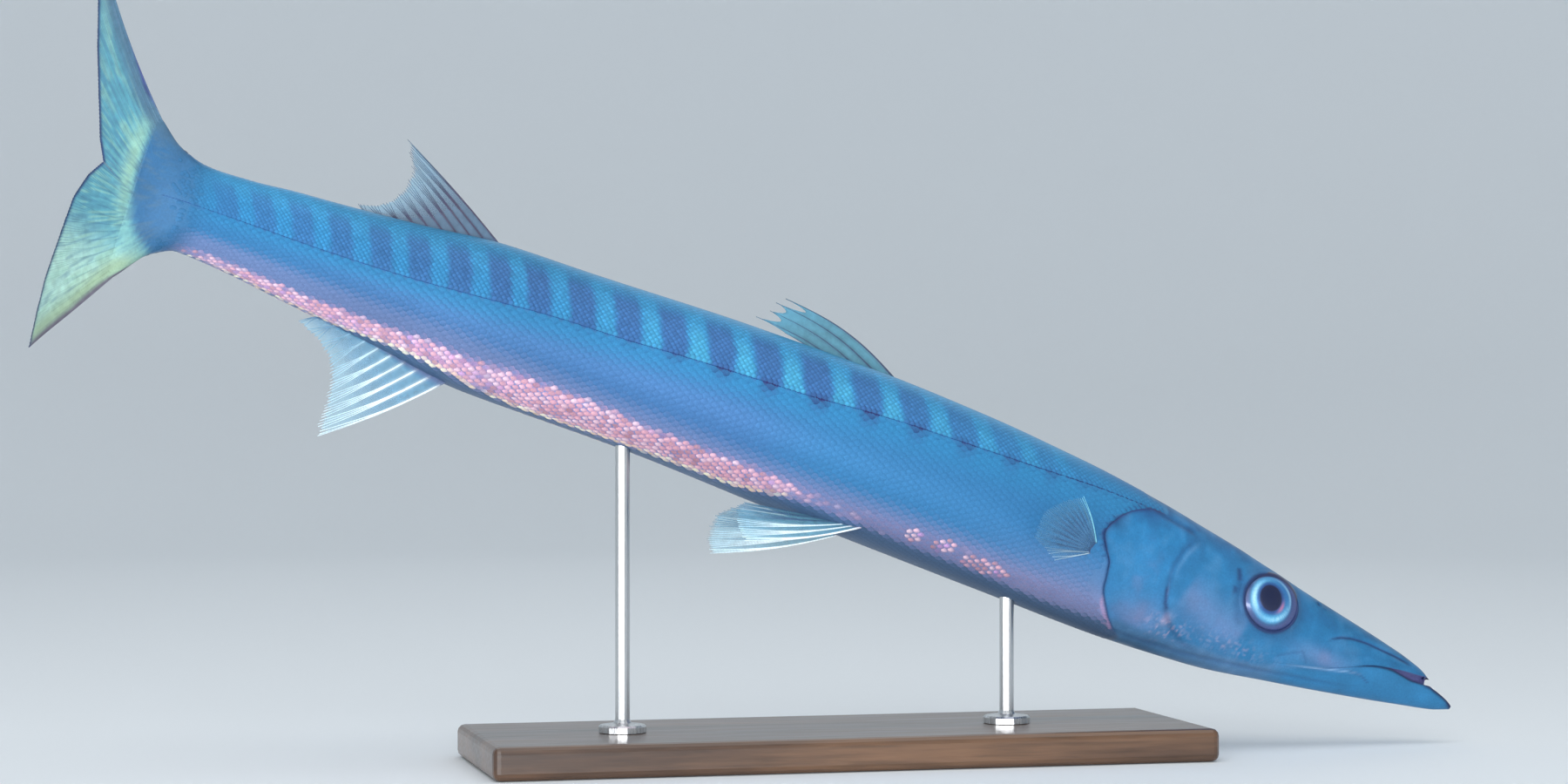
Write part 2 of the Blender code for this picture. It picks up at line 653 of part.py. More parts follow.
fish = fish_collection("barracuda")
stand = fish_collection("display_stand")
cutters = fish_collection("cutters")
looks = {
    "head": material("head_skin", (0.09, 0.26, 0.47), 0.40),
    "jaw": material("jaw_skin", (0.06, 0.21, 0.43), 0.40),
    "flank": material("flank_skin", (0.12, 0.28, 0.50), 0.35),
    "eye": material("eye", (0.05, 0.20, 0.38), 0.10),
    "fin_dark": material("dorsal_fin", (0.06, 0.20, 0.30), 0.45, alpha=0.8),
    "fin_clear": material("paired_fin", (0.25, 0.55, 0.70), 0.40, alpha=0.8),
    "tail_fin": material("tail_fin", (0.27, 0.45, 0.44), 0.45),
    "wood": material("stand_wood", (0.16, 0.08, 0.04), 0.35),
    "steel": material("stand_steel", (0.60, 0.61, 0.62), 0.30, metallic=1.0),
}

# The empty at the jaw's tip carries the whole fish: it dives and banks, and nothing else does.
pose = bpy.data.objects.new("fish_pose", None)
fish.objects.link(pose)
turn = Matrix.Rotation(DIVE, 4, "Y") @ Matrix.Rotation(-BANK, 4, "X")
balance = turn @ Matrix.Translation(tuple(place(BALANCE_STATION, 0.0, 0.0)))
pose.matrix_world = Matrix.Translation((-balance.translation.x, 0.0, NOSE_HEIGHT)) @ turn
bpy.context.view_layer.update()

guard = body_guard()
add_trunk()
add_lower_jaw()
head = add_head()
add_gill_covers([head, bpy.data.objects["trunk_front"]])
add_fins(guard)
add_base()
for rod_name, rod_station in ROD_STATIONS.items():
    add_rod(rod_name, rod_station, guard)
drop(guard)
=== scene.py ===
import math

import bpy
import numpy as np
from mathutils import Matrix, Vector

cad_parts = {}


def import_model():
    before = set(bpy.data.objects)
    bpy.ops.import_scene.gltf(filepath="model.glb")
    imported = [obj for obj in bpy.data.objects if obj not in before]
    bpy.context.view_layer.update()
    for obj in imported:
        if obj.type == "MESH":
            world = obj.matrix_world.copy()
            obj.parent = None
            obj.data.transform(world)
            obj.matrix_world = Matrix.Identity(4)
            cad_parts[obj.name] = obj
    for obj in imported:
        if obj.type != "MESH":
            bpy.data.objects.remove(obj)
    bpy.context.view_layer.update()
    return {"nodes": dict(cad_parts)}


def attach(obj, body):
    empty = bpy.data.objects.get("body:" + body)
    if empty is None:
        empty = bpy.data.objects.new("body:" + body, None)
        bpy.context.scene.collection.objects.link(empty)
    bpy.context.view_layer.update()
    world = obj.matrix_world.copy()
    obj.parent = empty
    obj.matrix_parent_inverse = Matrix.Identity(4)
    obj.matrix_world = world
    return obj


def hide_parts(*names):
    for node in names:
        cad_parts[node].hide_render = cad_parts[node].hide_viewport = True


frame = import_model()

mm = 0.001

# The fish's own frame: a place is (station back from the jaw's tip, height above the axis,
# side to its left). Tables are in millimetres, everything worked out from them in metres.
body = {
    "length": 0.800,
    "dive": 19.76,            # degrees, nose down
    "bank": 9.0,              # degrees, belly towards the camera
    "noseHeight": 0.020,
    "balance": 0.388,         # station over the middle of the base
    "strokeStart": 0.400,     # the tail swings to the right from here on
    "strokePower": 2.2,
    "rootYaw": 27.0,
    "tipYaw": 72.0,
    "finReach": 0.120,
    "finLean": 16.0,
    "leanStart": 0.780,
    "back": ((0, 2.0), (18, 11.6), (22, 14.2), (27, 16.3), (51, 22.3), (103, 32.6), (130, 37.9),
             (155, 43.5), (180, 48.1), (206, 52.9), (257, 59.9), (320, 65.0), (383, 66.9), (458, 66.0),
             (555, 61.4), (603, 59.0), (652, 51.3), (700, 44.1), (724, 40.5), (748, 36.0), (776, 32.7),
             (790, 35.6), (806, 45.5), (810, 47.5)),
    "belly": ((0, -1.2), (11, -4.8), (28, -8.0), (56, -13.0), (110, -21.4), (163, -28.2),
              (215, -29.8), (290, -27.9), (415, -24.8), (512, -21.8), (600, -23.1), (654, -18.4),
              (702, -15.4), (749, -13.4), (772, -14.2), (788, -22.3), (806, -43.5), (810, -45.5)),
    "halfWidth": ((0, 2.2), (12, 5.2), (26, 8.2), (51, 12.0), (103, 19.0), (155, 27.0),
                  (206, 34.5), (257, 38.5), (358, 40.0), (458, 39.0), (555, 36.0), (603, 33.0),
                  (652, 27.5), (700, 21.5), (748, 16.5), (780, 12.0), (806, 1.4), (810, 0.5)),
    "upperPower": ((0, 2.0), (60, 2.4), (133, 2.9), (206, 2.4), (280, 2.1), (806, 2.0)),
    "lowerPower": ((0, 2.0), (60, 1.9), (133, 1.8), (206, 2.0), (300, 2.2), (806, 2.0)),
    "lateralLine": ((205, 42.8), (225, 42.2), (247, 42.0), (269, 41.0), (296, 39.5), (341, 37.6),
                    (373, 36.2), (400, 34.3), (428, 31.8), (466, 30.0), (506, 27.8), (534, 25.7),
                    (572, 24.0), (613, 20.2), (660, 15.9), (708, 12.9), (755, 10.1), (806, 6.0)),
}


def smoothLine(points):
    # A cubic through the points whose slope at each is the harmonic mean of its neighbours' slopes.
    x, y = np.array(points, float).T * mm
    slope = np.diff(y) / np.diff(x)
    tangent = np.concatenate([slope[:1], np.zeros(len(slope) - 1), slope[-1:]])
    same = slope[:-1] * slope[1:] > 0
    tangent[1:-1][same] = 2 / (1 / slope[:-1][same] + 1 / slope[1:][same])

    def value(station):
        station = np.clip(station, x[0], x[-1])
        i = np.clip(np.searchsorted(x, station) - 1, 0, len(slope) - 1)
        width = x[i + 1] - x[i]
        t = (station - x[i]) / width
        bend = t * (1 - t) * width * ((1 - t) * tangent[i] - t * tangent[i + 1])
        return y[i] + (y[i + 1] - y[i]) * (3 - 2 * t) * t * t + bend

    return value


def straightLine(points):
    # Straight runs between the points: stations in millimetres, values as they are.
    x, y = np.array(points, float).T
    return lambda station: np.interp(station, x * mm, y)


def ease(value, low, high):
    # 0 below low, 1 above high, and 3t2 - 2t3 between.
    t = np.clip((value - low) / (high - low), 0, 1)
    return t * t * (3 - 2 * t)


def fall(value, low, high):
    # The other way round: 1 below low and 0 above high.
    return 1 - ease(value, low, high)


def window(value, low, high, end, gone):
    # Up between low and high, and down again between end and gone.
    return ease(value, low, high) * fall(value, end, gone)


def bell(value, width):
    # e to the minus square of how many widths the value is from 0.
    return np.exp(-((value / width) ** 2))


back = smoothLine(body["back"])
belly = smoothLine(body["belly"])
halfWidth = smoothLine(body["halfWidth"])
lateral = smoothLine(body["lateralLine"])
upperPower = straightLine(body["upperPower"])
lowerPower = straightLine(body["lowerPower"])


def axisCurve():
    # The axis from above: yaw grows with a power of the station, and steps of a millimetre
    # along it are summed into how far it has gone along and across.
    station = np.arange(0.0, body["length"] + 2 * body["finReach"], mm)
    start, length = body["strokeStart"], body["length"]
    root, tip = math.radians(body["rootYaw"]), math.radians(body["tipYaw"])
    yaw = root * np.clip((station - start) / (length - start), 0, 1) ** body["strokePower"]
    yaw = yaw + (tip - root) * np.clip((station - length) / body["finReach"], 0, 1)
    middle = (yaw[1:] + yaw[:-1]) / 2
    along = np.concatenate([[0], np.cumsum(np.cos(middle)) * mm])
    across = np.concatenate([[0], np.cumsum(np.sin(middle)) * mm])
    return station, yaw, along, across


axisLine = axisCurve()


def place(station, height, side):
    # A point of the fish in its own frame: the axis at the station, plus height and side
    # turned by the lean round the axis and by the yaw round the vertical.
    station, height, side = np.broadcast_arrays(station, height, side)
    yaw, along, across = (np.interp(station, axisLine[0], line) for line in axisLine[1:])
    reach = body["length"] + body["finReach"] - body["leanStart"]
    lean = math.radians(body["finLean"]) * np.clip((station - body["leanStart"]) / reach, 0, None)
    up = height * np.cos(lean) - side * np.sin(lean)
    left = height * np.sin(lean) + side * np.cos(lean)
    return np.stack([-along - left * np.sin(yaw), -across + left * np.cos(yaw), up], axis=-1)


# The fish's frame in the world: dive about Y after bank about X, with the balance station
# over the middle of the base.
diveTurn = Matrix.Rotation(math.radians(body["dive"]), 3, "Y")
turn = np.array(diveTurn @ Matrix.Rotation(-math.radians(body["bank"]), 3, "X"))
shift = np.array([-(turn @ place(body["balance"], 0.0, 0.0))[0], 0.0, body["noseHeight"]])


def world(station, height, side):
    # A place of the fish in the model's frame.
    return place(station, height, side) @ turn.T + shift


def signedPower(value, exponent):
    # A power of the size alone, which keeps the value's sign.
    return np.sign(value) * np.abs(value) ** exponent


def section(station, angle, offset=0.0):
    # (height, side) on the skin: a superellipse round the middle of back and belly, at an
    # angle in radians, 0 to the left and a quarter turn up, pushed out square to it by offset.
    middle = (back(station) + belly(station)) / 2
    half = (back(station) - belly(station)) / 2
    width = halfWidth(station)
    bend = 2 / np.where(np.sin(angle) > 0, upperPower(station), lowerPower(station))
    height = half * signedPower(np.sin(angle), bend)
    side = width * signedPower(np.cos(angle), bend)
    push = np.hypot(height / half**2, side / width**2)
    height = height + offset * height / half**2 / push
    side = side + offset * side / width**2 / push
    return middle + height, side


def angleAt(station, height):
    # The angle of the section at which the skin has this height.
    middle = (back(station) + belly(station)) / 2
    half = (back(station) - belly(station)) / 2
    up = np.clip((height - middle) / half, -1, 1)
    exponent = np.where(up > 0, upperPower(station), lowerPower(station)) / 2
    return np.arcsin(signedPower(up, exponent))


def skinPoint(station, height, offset=0.0, side=1.0):
    # A point on or over the skin, given by how it looks from the side.
    up, out = section(station, angleAt(station, height), offset)
    return world(station, up, side * out)


def lineField(line, station, height):
    # For each place: the distance to a line drawn on the side of the fish, which side of it
    # the place is on (positive behind or above) and how far along the line it is, 0 to 1.
    points = np.array(line, float) * mm
    station, height = np.broadcast_arrays(station, height)
    start, step = points[:-1], np.diff(points, axis=0)
    reach = np.hypot(step[:, 0], step[:, 1])
    begin = np.concatenate([[0], np.cumsum(reach)])
    best = np.full(np.shape(station), 1e9)
    side = np.zeros(np.shape(station))
    along = np.zeros(np.shape(station))
    for k in range(len(step)):
        dx, dy = station - start[k, 0], height - start[k, 1]
        t = np.clip((dx * step[k, 0] + dy * step[k, 1]) / reach[k] ** 2, 0, 1)
        gap = np.hypot(dx - t * step[k, 0], dy - t * step[k, 1])
        near = gap < best
        cross = dx * step[k, 1] - dy * step[k, 0]
        best = np.where(near, gap, best)
        side = np.where(near, np.sign(cross), side)
        along = np.where(near, (begin[k] + t * reach[k]) / begin[-1], along)
    return best, side, along


# Lines of the head, drawn from the side in millimetres.
head = {
    "eye": (132.3, 16.0),
    "eyeRadius": 16.0,
    "eyeStretch": 1.13,       # how much longer than high the eye's opening is
    "snoutFold": ((92, 7.4), (87.5, 10.6), (83, 12.8), (76.5, 14.6), (70, 15.5), (64, 15.8),
                  (55, 15.4), (45, 15.1), (36, 14.2), (30, 13.2)),
    "upperLip": ((84, 3.6), (72, 7.0), (60, 9.6), (48, 11.0), (36, 11.4), (28, 11.4)),
    "jawPlate": ((120, -11), (113.5, -7.4), (104, -2.6), (101, -5.4), (97.5, -9.1)),
    "jawPlateEdge": ((112, -12.3), (102.5, -10.4), (92, -8.2), (81.5, -5.9), (69, -2.9), (60, -2.1)),
    "jawCrease": ((72, -3.0), (63.5, -2.9), (56, -5.6)),
    "gularFold": ((60, -9.0), (95, -15.0), (130, -20.5), (170, -25.5), (205, -27.0), (224, -26.5)),
    "cheekEdge": ((184, 37), (187.5, 33), (193.5, 25), (197, 15.6), (197.6, 9), (196.8, 2.5),
                  (195.5, -6), (191, -12), (184, -17), (174, -21), (160, -23)),
    "cheekSlit": ((198.2, 3), (197, -1.7), (195.5, -6.1), (192.5, -9.8)),
    "eyeFold": ((157, 29), (155.5, 24.5), (155, 20.5)),
    "eyeMark": ((157.2, 18), (156.4, 12.5)),
    "eyeShade": ((154, 24), (154.5, 12), (152, 2), (146, -4)),
    "nape": ((218, 42.1), (211.5, 41), (204, 40), (196.5, 39.1), (186, 37.6)),
    "throat": ((222, -22.4), (201, -22.6), (184, -21.6), (174, -20.6), (150, -20), (128, -17.4),
               (102, -11)),
    "cheekBand": ((188, 5), (176, 0.5), (163, -4), (142, -7)),
    "nostrils": ((99.5, 27.4, 1.0), (95.5, 25.6, 0.5)),       # each with its radius
    "nostrilStretch": 1.4,
    "gillEdge": ((206, 42.6), (212, 42.3), (217.5, 41.8), (222.5, 39.2), (226.5, 37.3), (232, 34.1),
                 (237.5, 28.8), (241, 24.4), (243.5, 20.4), (244.5, 17), (242.5, 12.7), (240, 8.5),
                 (237.5, 5.2), (236, 3.2), (235.5, -1.4), (234.5, -5.6), (234, -9.3), (232.5, -12.6),
                 (229, -16.2), (225.5, -19.8), (222.5, -22.4), (216, -26.4), (209, -28.6)),
    "gillPink": ((232.5, -13.5), (229.5, -18.8), (226.5, -21.1), (223, -23.6), (217, -26.5)),
}


# The mouth, in millimetres: its line back to the corner, how wide it stands open and how deep it is.
mouthShape = {
    "line": ((0, 0.8), (4, 3.4), (10, 5.2), (15, 6.6), (18, 8.7), (22, 8.3), (26, 7.75), (31.5, 7.2),
             (38.5, 7.25), (45.5, 7.1), (50, 6.6), (56, 5.3), (63, 3.0), (69, 0.4), (80, -4.0),
             (92, -8.0), (111, -12.2), (122, -14.4), (150, -16)),
    "open": ((0, 0.5), (12, 0.9), (15, 1.6), (18, 4.6), (22, 5.0), (26, 4.7), (31.5, 4.4), (38.5, 2.7),
             (45.5, 0.8), (56, 0.5), (64, 0.25), (84, 0.12), (122, 0.2), (150, 3.0)),
    "deep": ((0, 0), (17, 0.8), (20, 3.0), (24, 1.8), (31, 1.4), (38, 1.1), (45, 0.7), (56, 0.5),
             (66, 0.4), (84, 0.2), (122, 0)),
}
mouth = smoothLine(mouthShape["line"])
mouthOpen = smoothLine(mouthShape["open"])
mouthDeep = smoothLine(mouthShape["deep"])


def ovalGap(station, height, x, y, stretch):
    # How far a place is from a middle in millimetres, as an oval that is longer than high.
    return np.hypot((station - x * mm) / stretch, height - y * mm)


def eyeGap(station, height):
    # How far a place is from the eye's middle.
    return ovalGap(station, height, *head["eye"], head["eyeStretch"])


def lineBell(line, width, fade, station, height):
    # A bell across one of the head's lines, fading out over a share of it at both ends.
    gap, _, along = lineField(head[line], station, height)
    return bell(gap, width * mm) * window(along, 0, fade, 1 - fade, 1)


# Relief of the head in millimetres. Grooves: line, width, depth and share that fades at each
# end. Folds: line, how far back the rise reaches, and the rise. Brow and hollow: rise or depth
# and width, and the hollow's middle.
headRelief = {
    "grooves": (("snoutFold", 0.8, 0.65, 0.12), ("upperLip", 1.2, 0.12, 0.12),
                ("jawPlate", 0.7, 0.30, 0.12), ("jawCrease", 0.6, 0.20, 0.12),
                ("gularFold", 0.9, 0.45, 0.30), ("cheekSlit", 0.9, 0.35, 0.12),
                ("eyeFold", 1.3, 0.5, 0.12), ("nape", 1.2, 0.45, 0.12)),
    "folds": (("snoutFold", 5, 0.45), ("jawPlateEdge", 4, 0.35), ("cheekEdge", 9, 0.32)),
    "foldDrop": 0.9, "foldFade": 0.15, "nostrilRim": 0.35, "nostrilDepth": 1.4,
    "brow": (0.7, 5), "hollow": (0.9, 9), "hollowPlace": (108, 16), "socketDepth": 8.5, "socketWall": 2.2,
}


def relief(station, height):
    # How far the skin stands above the plain section: the sum of the folds, grooves and
    # swellings of the head, each a bell or a step across its line.
    station, height = np.broadcast_arrays(station, height)
    out = np.zeros(np.shape(station))
    for line, width, depth, fade in headRelief["grooves"]:
        out -= depth * mm * lineBell(line, width, fade, station, height)
    for line, reach, rise in headRelief["folds"]:
        # A sheet of skin that ends at the line: it rises towards it and drops beyond it.
        gap, side, along = lineField(head[line], station, height)
        swell = np.where(side > 0, np.exp(-gap / (reach * mm)), fall(gap, 0, headRelief["foldDrop"] * mm))
        out += rise * mm * swell * window(along, 0, headRelief["foldFade"], 1 - headRelief["foldFade"], 1)
    for x, y, radius in head["nostrils"]:
        share = ovalGap(station, height, x, y, head["nostrilStretch"]) / (radius * mm)
        out += headRelief["nostrilRim"] * mm * fall(share, 1.2, 2.2)
        out -= headRelief["nostrilDepth"] * mm * fall(share, 0.55, 1.15)
    # A low brow over the eye, a hollow before it, and the socket that the eyeball sits in.
    gap = eyeGap(station, height)
    socket = head["eyeRadius"] * mm
    rise, width = headRelief["brow"]
    out += rise * mm * bell(gap - socket, width * mm)
    depth, width = headRelief["hollow"]
    out -= depth * mm * bell(ovalGap(station, height, *headRelief["hollowPlace"], 1), width * mm)
    sunk = headRelief["socketDepth"] * mm * fall(gap, socket - headRelief["socketWall"] * mm, socket)
    return np.where(gap < socket, out - sunk, out)


def linear(color):
    # An sRGB colour out of 255 as linear light.
    value = np.array(color, float) / 255
    return np.where(value <= 0.04045, value / 12.92, ((value + 0.055) / 1.055) ** 2.4)


# The fish's markings as colours out of 255 and places in millimetres.
paint = {
    "back": (58, 136, 180), "napeTone": (42, 114, 166), "upper": (52, 126, 174),
    # belly: painted shade, the pale underside in shadow as dark grey-blue.
    "middle": (52, 114, 162), "violet": (62, 108, 158), "low": (106, 126, 170), "belly": (80, 108, 142),
    "bar": (56, 92, 144), "patch": (68, 150, 184), "line": (34, 72, 128), "lineFoot": (44, 48, 96),
    # pink, gold, lilac, ground and violetDot: the band of glints on the lower flank, painted reflections of
    # the scales.
    "pink": (255, 192, 204), "gold": (255, 230, 190), "lilac": (140, 140, 190),
    "ground": (188, 142, 170), "violetDot": (132, 104, 214), "cheek": (41, 115, 163),
    # throat: painted shade of the pale underside, grey-blue.
    "cover": (39, 119, 170), "snout": (36, 110, 157), "jaw": (42, 115, 162), "throat": (74, 120, 162),
    # crease darkens the head's mottle and marks, and is painted shade in its grooves and pits.
    # lipLine is painted shade in the mouth's slit.
    "blush": (128, 140, 182), "lip": (74, 68, 116), "lipLine": (24, 28, 70), "crease": (30, 50, 96),
    # gillLine is painted shade along the gill cover's free edge.
    "gillLine": (44, 50, 104), "orbit": (34, 52, 96), "blotch": (34, 84, 140),
    "tailRoot": (50, 102, 144), "fleck": (232, 192, 208), "seam": (180, 150, 190),
    # white pales the head's mottle, and is a painted highlight along the cheek's edge and the upper jaw's
    # plate.
    "white": (150, 184, 222),
    # Stations of the dark bars, and how far back each leans on its way up.
    "bars": (262, 281, 306, 334, 363, 391, 421, 450, 477, 505, 531, 558, 584, 605, 628, 651, 672,
             695, 717, 739, 760, 785),
    "barLean": 10.0,
    "barDepth": ((240, 0.1), (300, 0.35), (360, 0.75), (420, 1.0), (600, 1.0), (680, 0.8), (760, 0.6),
                 (800, 0.0)),
    "patchDepth": ((275, 0.0), (300, 0.35), (340, 0.6), (400, 0.9), (430, 1.0), (490, 1.0), (520, 0.6),
                   (570, 0.15), (620, 0.05), (700, 0.0)),
    # The band of painted glints, the scales' reflections laid into their colour, from below and above, and
    # the violet belly's top, as angles in degrees.
    "glintLow": ((220, -62), (263, -67), (300, -65), (340, -65), (375, -63), (400, -63), (419, -66),
                 (431, -71), (447, -78), (490, -81), (540, -84), (575, -83), (604, -75), (616, -70),
                 (645, -72), (664, -78), (682, -88), (771, -88)),
    "glintHigh": ((240, -47), (286, -48), (311, -45), (348, -47), (384, -49), (451, -50.5), (504, -52),
                  (528, -47.5), (570, -44.7), (588, -43), (612, -46), (632, -46), (659, -53), (684, -55),
                  (708, -59), (771, -63)),
    "violetHigh": ((220, -36), (274, -39), (324, -36), (373, -36.5), (452, -38), (517, -35.5), (553, -32),
                   (589, -28.6), (625, -27), (660, -30), (790, -34)),
    "glintPower": ((240, 0.10), (280, 0.20), (350, 0.22), (400, 0.24), (415, 0.38), (432, 0.9),
                   (470, 1.0), (580, 1.0), (596, 0.62), (612, 0.85), (655, 0.9), (740, 0.75),
                   (768, 0.4), (784, 0.0)),
    # Clusters of scales with painted glints low on the front of the flank: station, height, reach along and
    # across.
    "clusters": ((346, -17.5, 5, 3), (327, -17.5, 7, 3.6), (301, -20, 15, 3)),
}
paintLine = {key: straightLine(paint[key]) for key in
             ("barDepth", "patchDepth", "glintLow", "glintHigh", "violetHigh", "glintPower")}


def mottle(station, height, size, seed):
    # Smooth blotches between 0 and 1: a seeded grid of random values, size apart, eased between.
    grid = np.random.default_rng(seed).uniform(0, 1, (64, 64))
    x, y = station / (size * mm) + 7, height / (size * mm) + 31
    i, j = np.floor(x).astype(int), np.floor(y).astype(int)
    u, v = ease(x - i, 0, 1), ease(y - j, 0, 1)
    near = grid[i % 64, j % 64] * (1 - v) + grid[i % 64, (j + 1) % 64] * v
    far = grid[(i + 1) % 64, j % 64] * (1 - v) + grid[(i + 1) % 64, (j + 1) % 64] * v
    return near * (1 - u) + far * u


def layTones(tone, palette, layers):
    # Lays colours of a palette over the tone one after another, each by its own share, 0 to 1.
    for key, share in layers:
        share = np.clip(share, 0, 1)[..., None]
        tone = tone * (1 - share) + linear(palette[key]) * share
    return tone


def plainTone(color, shape):
    # One colour in every place of an array.
    return np.broadcast_to(linear(color), tuple(shape) + (3,))


def barWave(station):
    # 1 in the middle of each bar and -1 halfway between two.
    bars = np.array(paint["bars"], float) * mm
    return np.cos(math.tau * np.interp(station, bars, np.arange(len(bars))))


def gillReach(station, height):
    # Positive inside the head's side of the gill cover's edge, in metres.
    line = np.array(head["gillEdge"], float) * mm
    order = np.argsort(line[:, 1])
    return np.interp(height, line[order, 1], line[order, 0]) - station


def glintShare(station, angle):
    # The band of painted glints on the lower flank, the scales' reflections laid into their colour, soft
    # above and sharper below.
    turned = np.degrees(angle)
    low, high = paintLine["glintLow"](station), paintLine["glintHigh"](station)
    return window(turned, low - 1, low + 2, high - 4, high + 7) * paintLine["glintPower"](station)


def toneAt(station, height, angle):
    # The skin's colour: blended bands from belly to back, then bars, patches, the lateral
    # line, and on the head each region and crease. Angles are those of the fish's left side,
    # and x is the station in millimetres.
    line, top, floor = lateral(station), back(station), belly(station)
    above = np.clip((height - line) / (top - line), 0, 1)
    below = np.clip((line - height) / (line - floor), 0, 1)
    x, turned = station / mm, np.degrees(angle)
    low, violet = paintLine["glintLow"](station), paintLine["violetHigh"](station)
    # Bars stand on the lateral line and lean back as they rise, with pale patches between.
    ragged = 1.6 * mm * (mottle(station, height, 3.0, 5) - 0.5)
    wave = barWave(station - paint["barLean"] * mm * above + ragged)
    dark = ease(wave, -0.65, 0.25) * paintLine["barDepth"](station) * window(above, 0.0, 0.04, 0.55, 0.90)
    pale = ease(-wave, -0.10 + 1.1 * above, 0.55 + 0.8 * above) * paintLine["patchDepth"](station)
    flicker = 0.65 + 0.7 * mottle(station + 0.4 * height, 1.6 * height, 2.2, 6)
    footDepth = paintLine["patchDepth"](station + 0.03)
    tone = layTones(plainTone(paint["upper"], np.shape(station)), paint, (
        ("back", ease(above, 0.20, 0.9)),
        ("middle", ease(below, 0.05, 0.35)),
        ("violet", window(x, 400, 470, 650, 760) * ease(below, 0.10, 0.40)),
        ("low", 0.9 * fall(turned, violet - 9, violet + 7)),
        ("blush", 0.55 * bell(x - 248, 50) * ease(below, 0.45, 0.90)),
        ("napeTone", 0.85 * fall(x, 224, 275) * ease(above, 0.2, 0.7)),
        # The belly below the band, painted shade: the pale underside in shadow as dark grey-blue.
        ("belly", fall(turned, low - 3, low + 1)),
        ("bar", 0.85 * dark),
        ("patch", 0.80 * pale * window(above, 0.0, 0.03, 0.25, 0.80) * flicker),
        ("bar", 0.60 * ease(wave, 0.1, 0.9) * fall(below, 0.03, 0.20) * (below > 0) * footDepth),
        ("lineFoot", 0.85 * ease(wave, 0.1, 0.8) * bell(height - line + 0.3 * mm, 2.0 * mm) * footDepth),
        ("line", 0.6 * bell(height - line, 0.9 * mm) * ease(x, 200, 230))))
    # The rear of the fish lies deeper in shade.
    tone = tone * (1 - 0.14 * window(x, 500, 600, 670, 730))[..., None]
    # The band of glints as a painted lilac sheen, a pale fold of skin behind the gill cover's edge, and the
    # blue root of the tail.
    gap, _, along = lineField(head["gillPink"], station, height)
    tone = layTones(tone, paint, (
        ("lilac", 0.7 * glintShare(station, angle)),
        ("seam", 0.8 * bell(gap, 0.8 * mm) * ease(along, 0, 0.2)),
        ("tailRoot", ease(x, 765, 788))))
    root = ease(x, 782, 796)[..., None]
    if np.max(root) > 0:
        tone = tone * (1 - root) + tailTone(station, height, 0 * station) * root
    return headTone(tone, station, height, angle)


# The head's painted lines: how wide each is in millimetres and how dark. Along its grooves the dark is
# painted shade.
headLines = (("snoutFold", 0.75, 0.95), ("upperLip", 1.0, 0.12), ("jawPlate", 0.7, 0.30),
             ("jawCrease", 0.6, 0.55), ("gularFold", 0.8, 0.30), ("cheekSlit", 0.9, 0.80),
             ("eyeFold", 1.7, 0.80), ("eyeMark", 1.6, 0.65), ("eyeShade", 2.6, 0.28), ("nape", 2.0, 0.55))


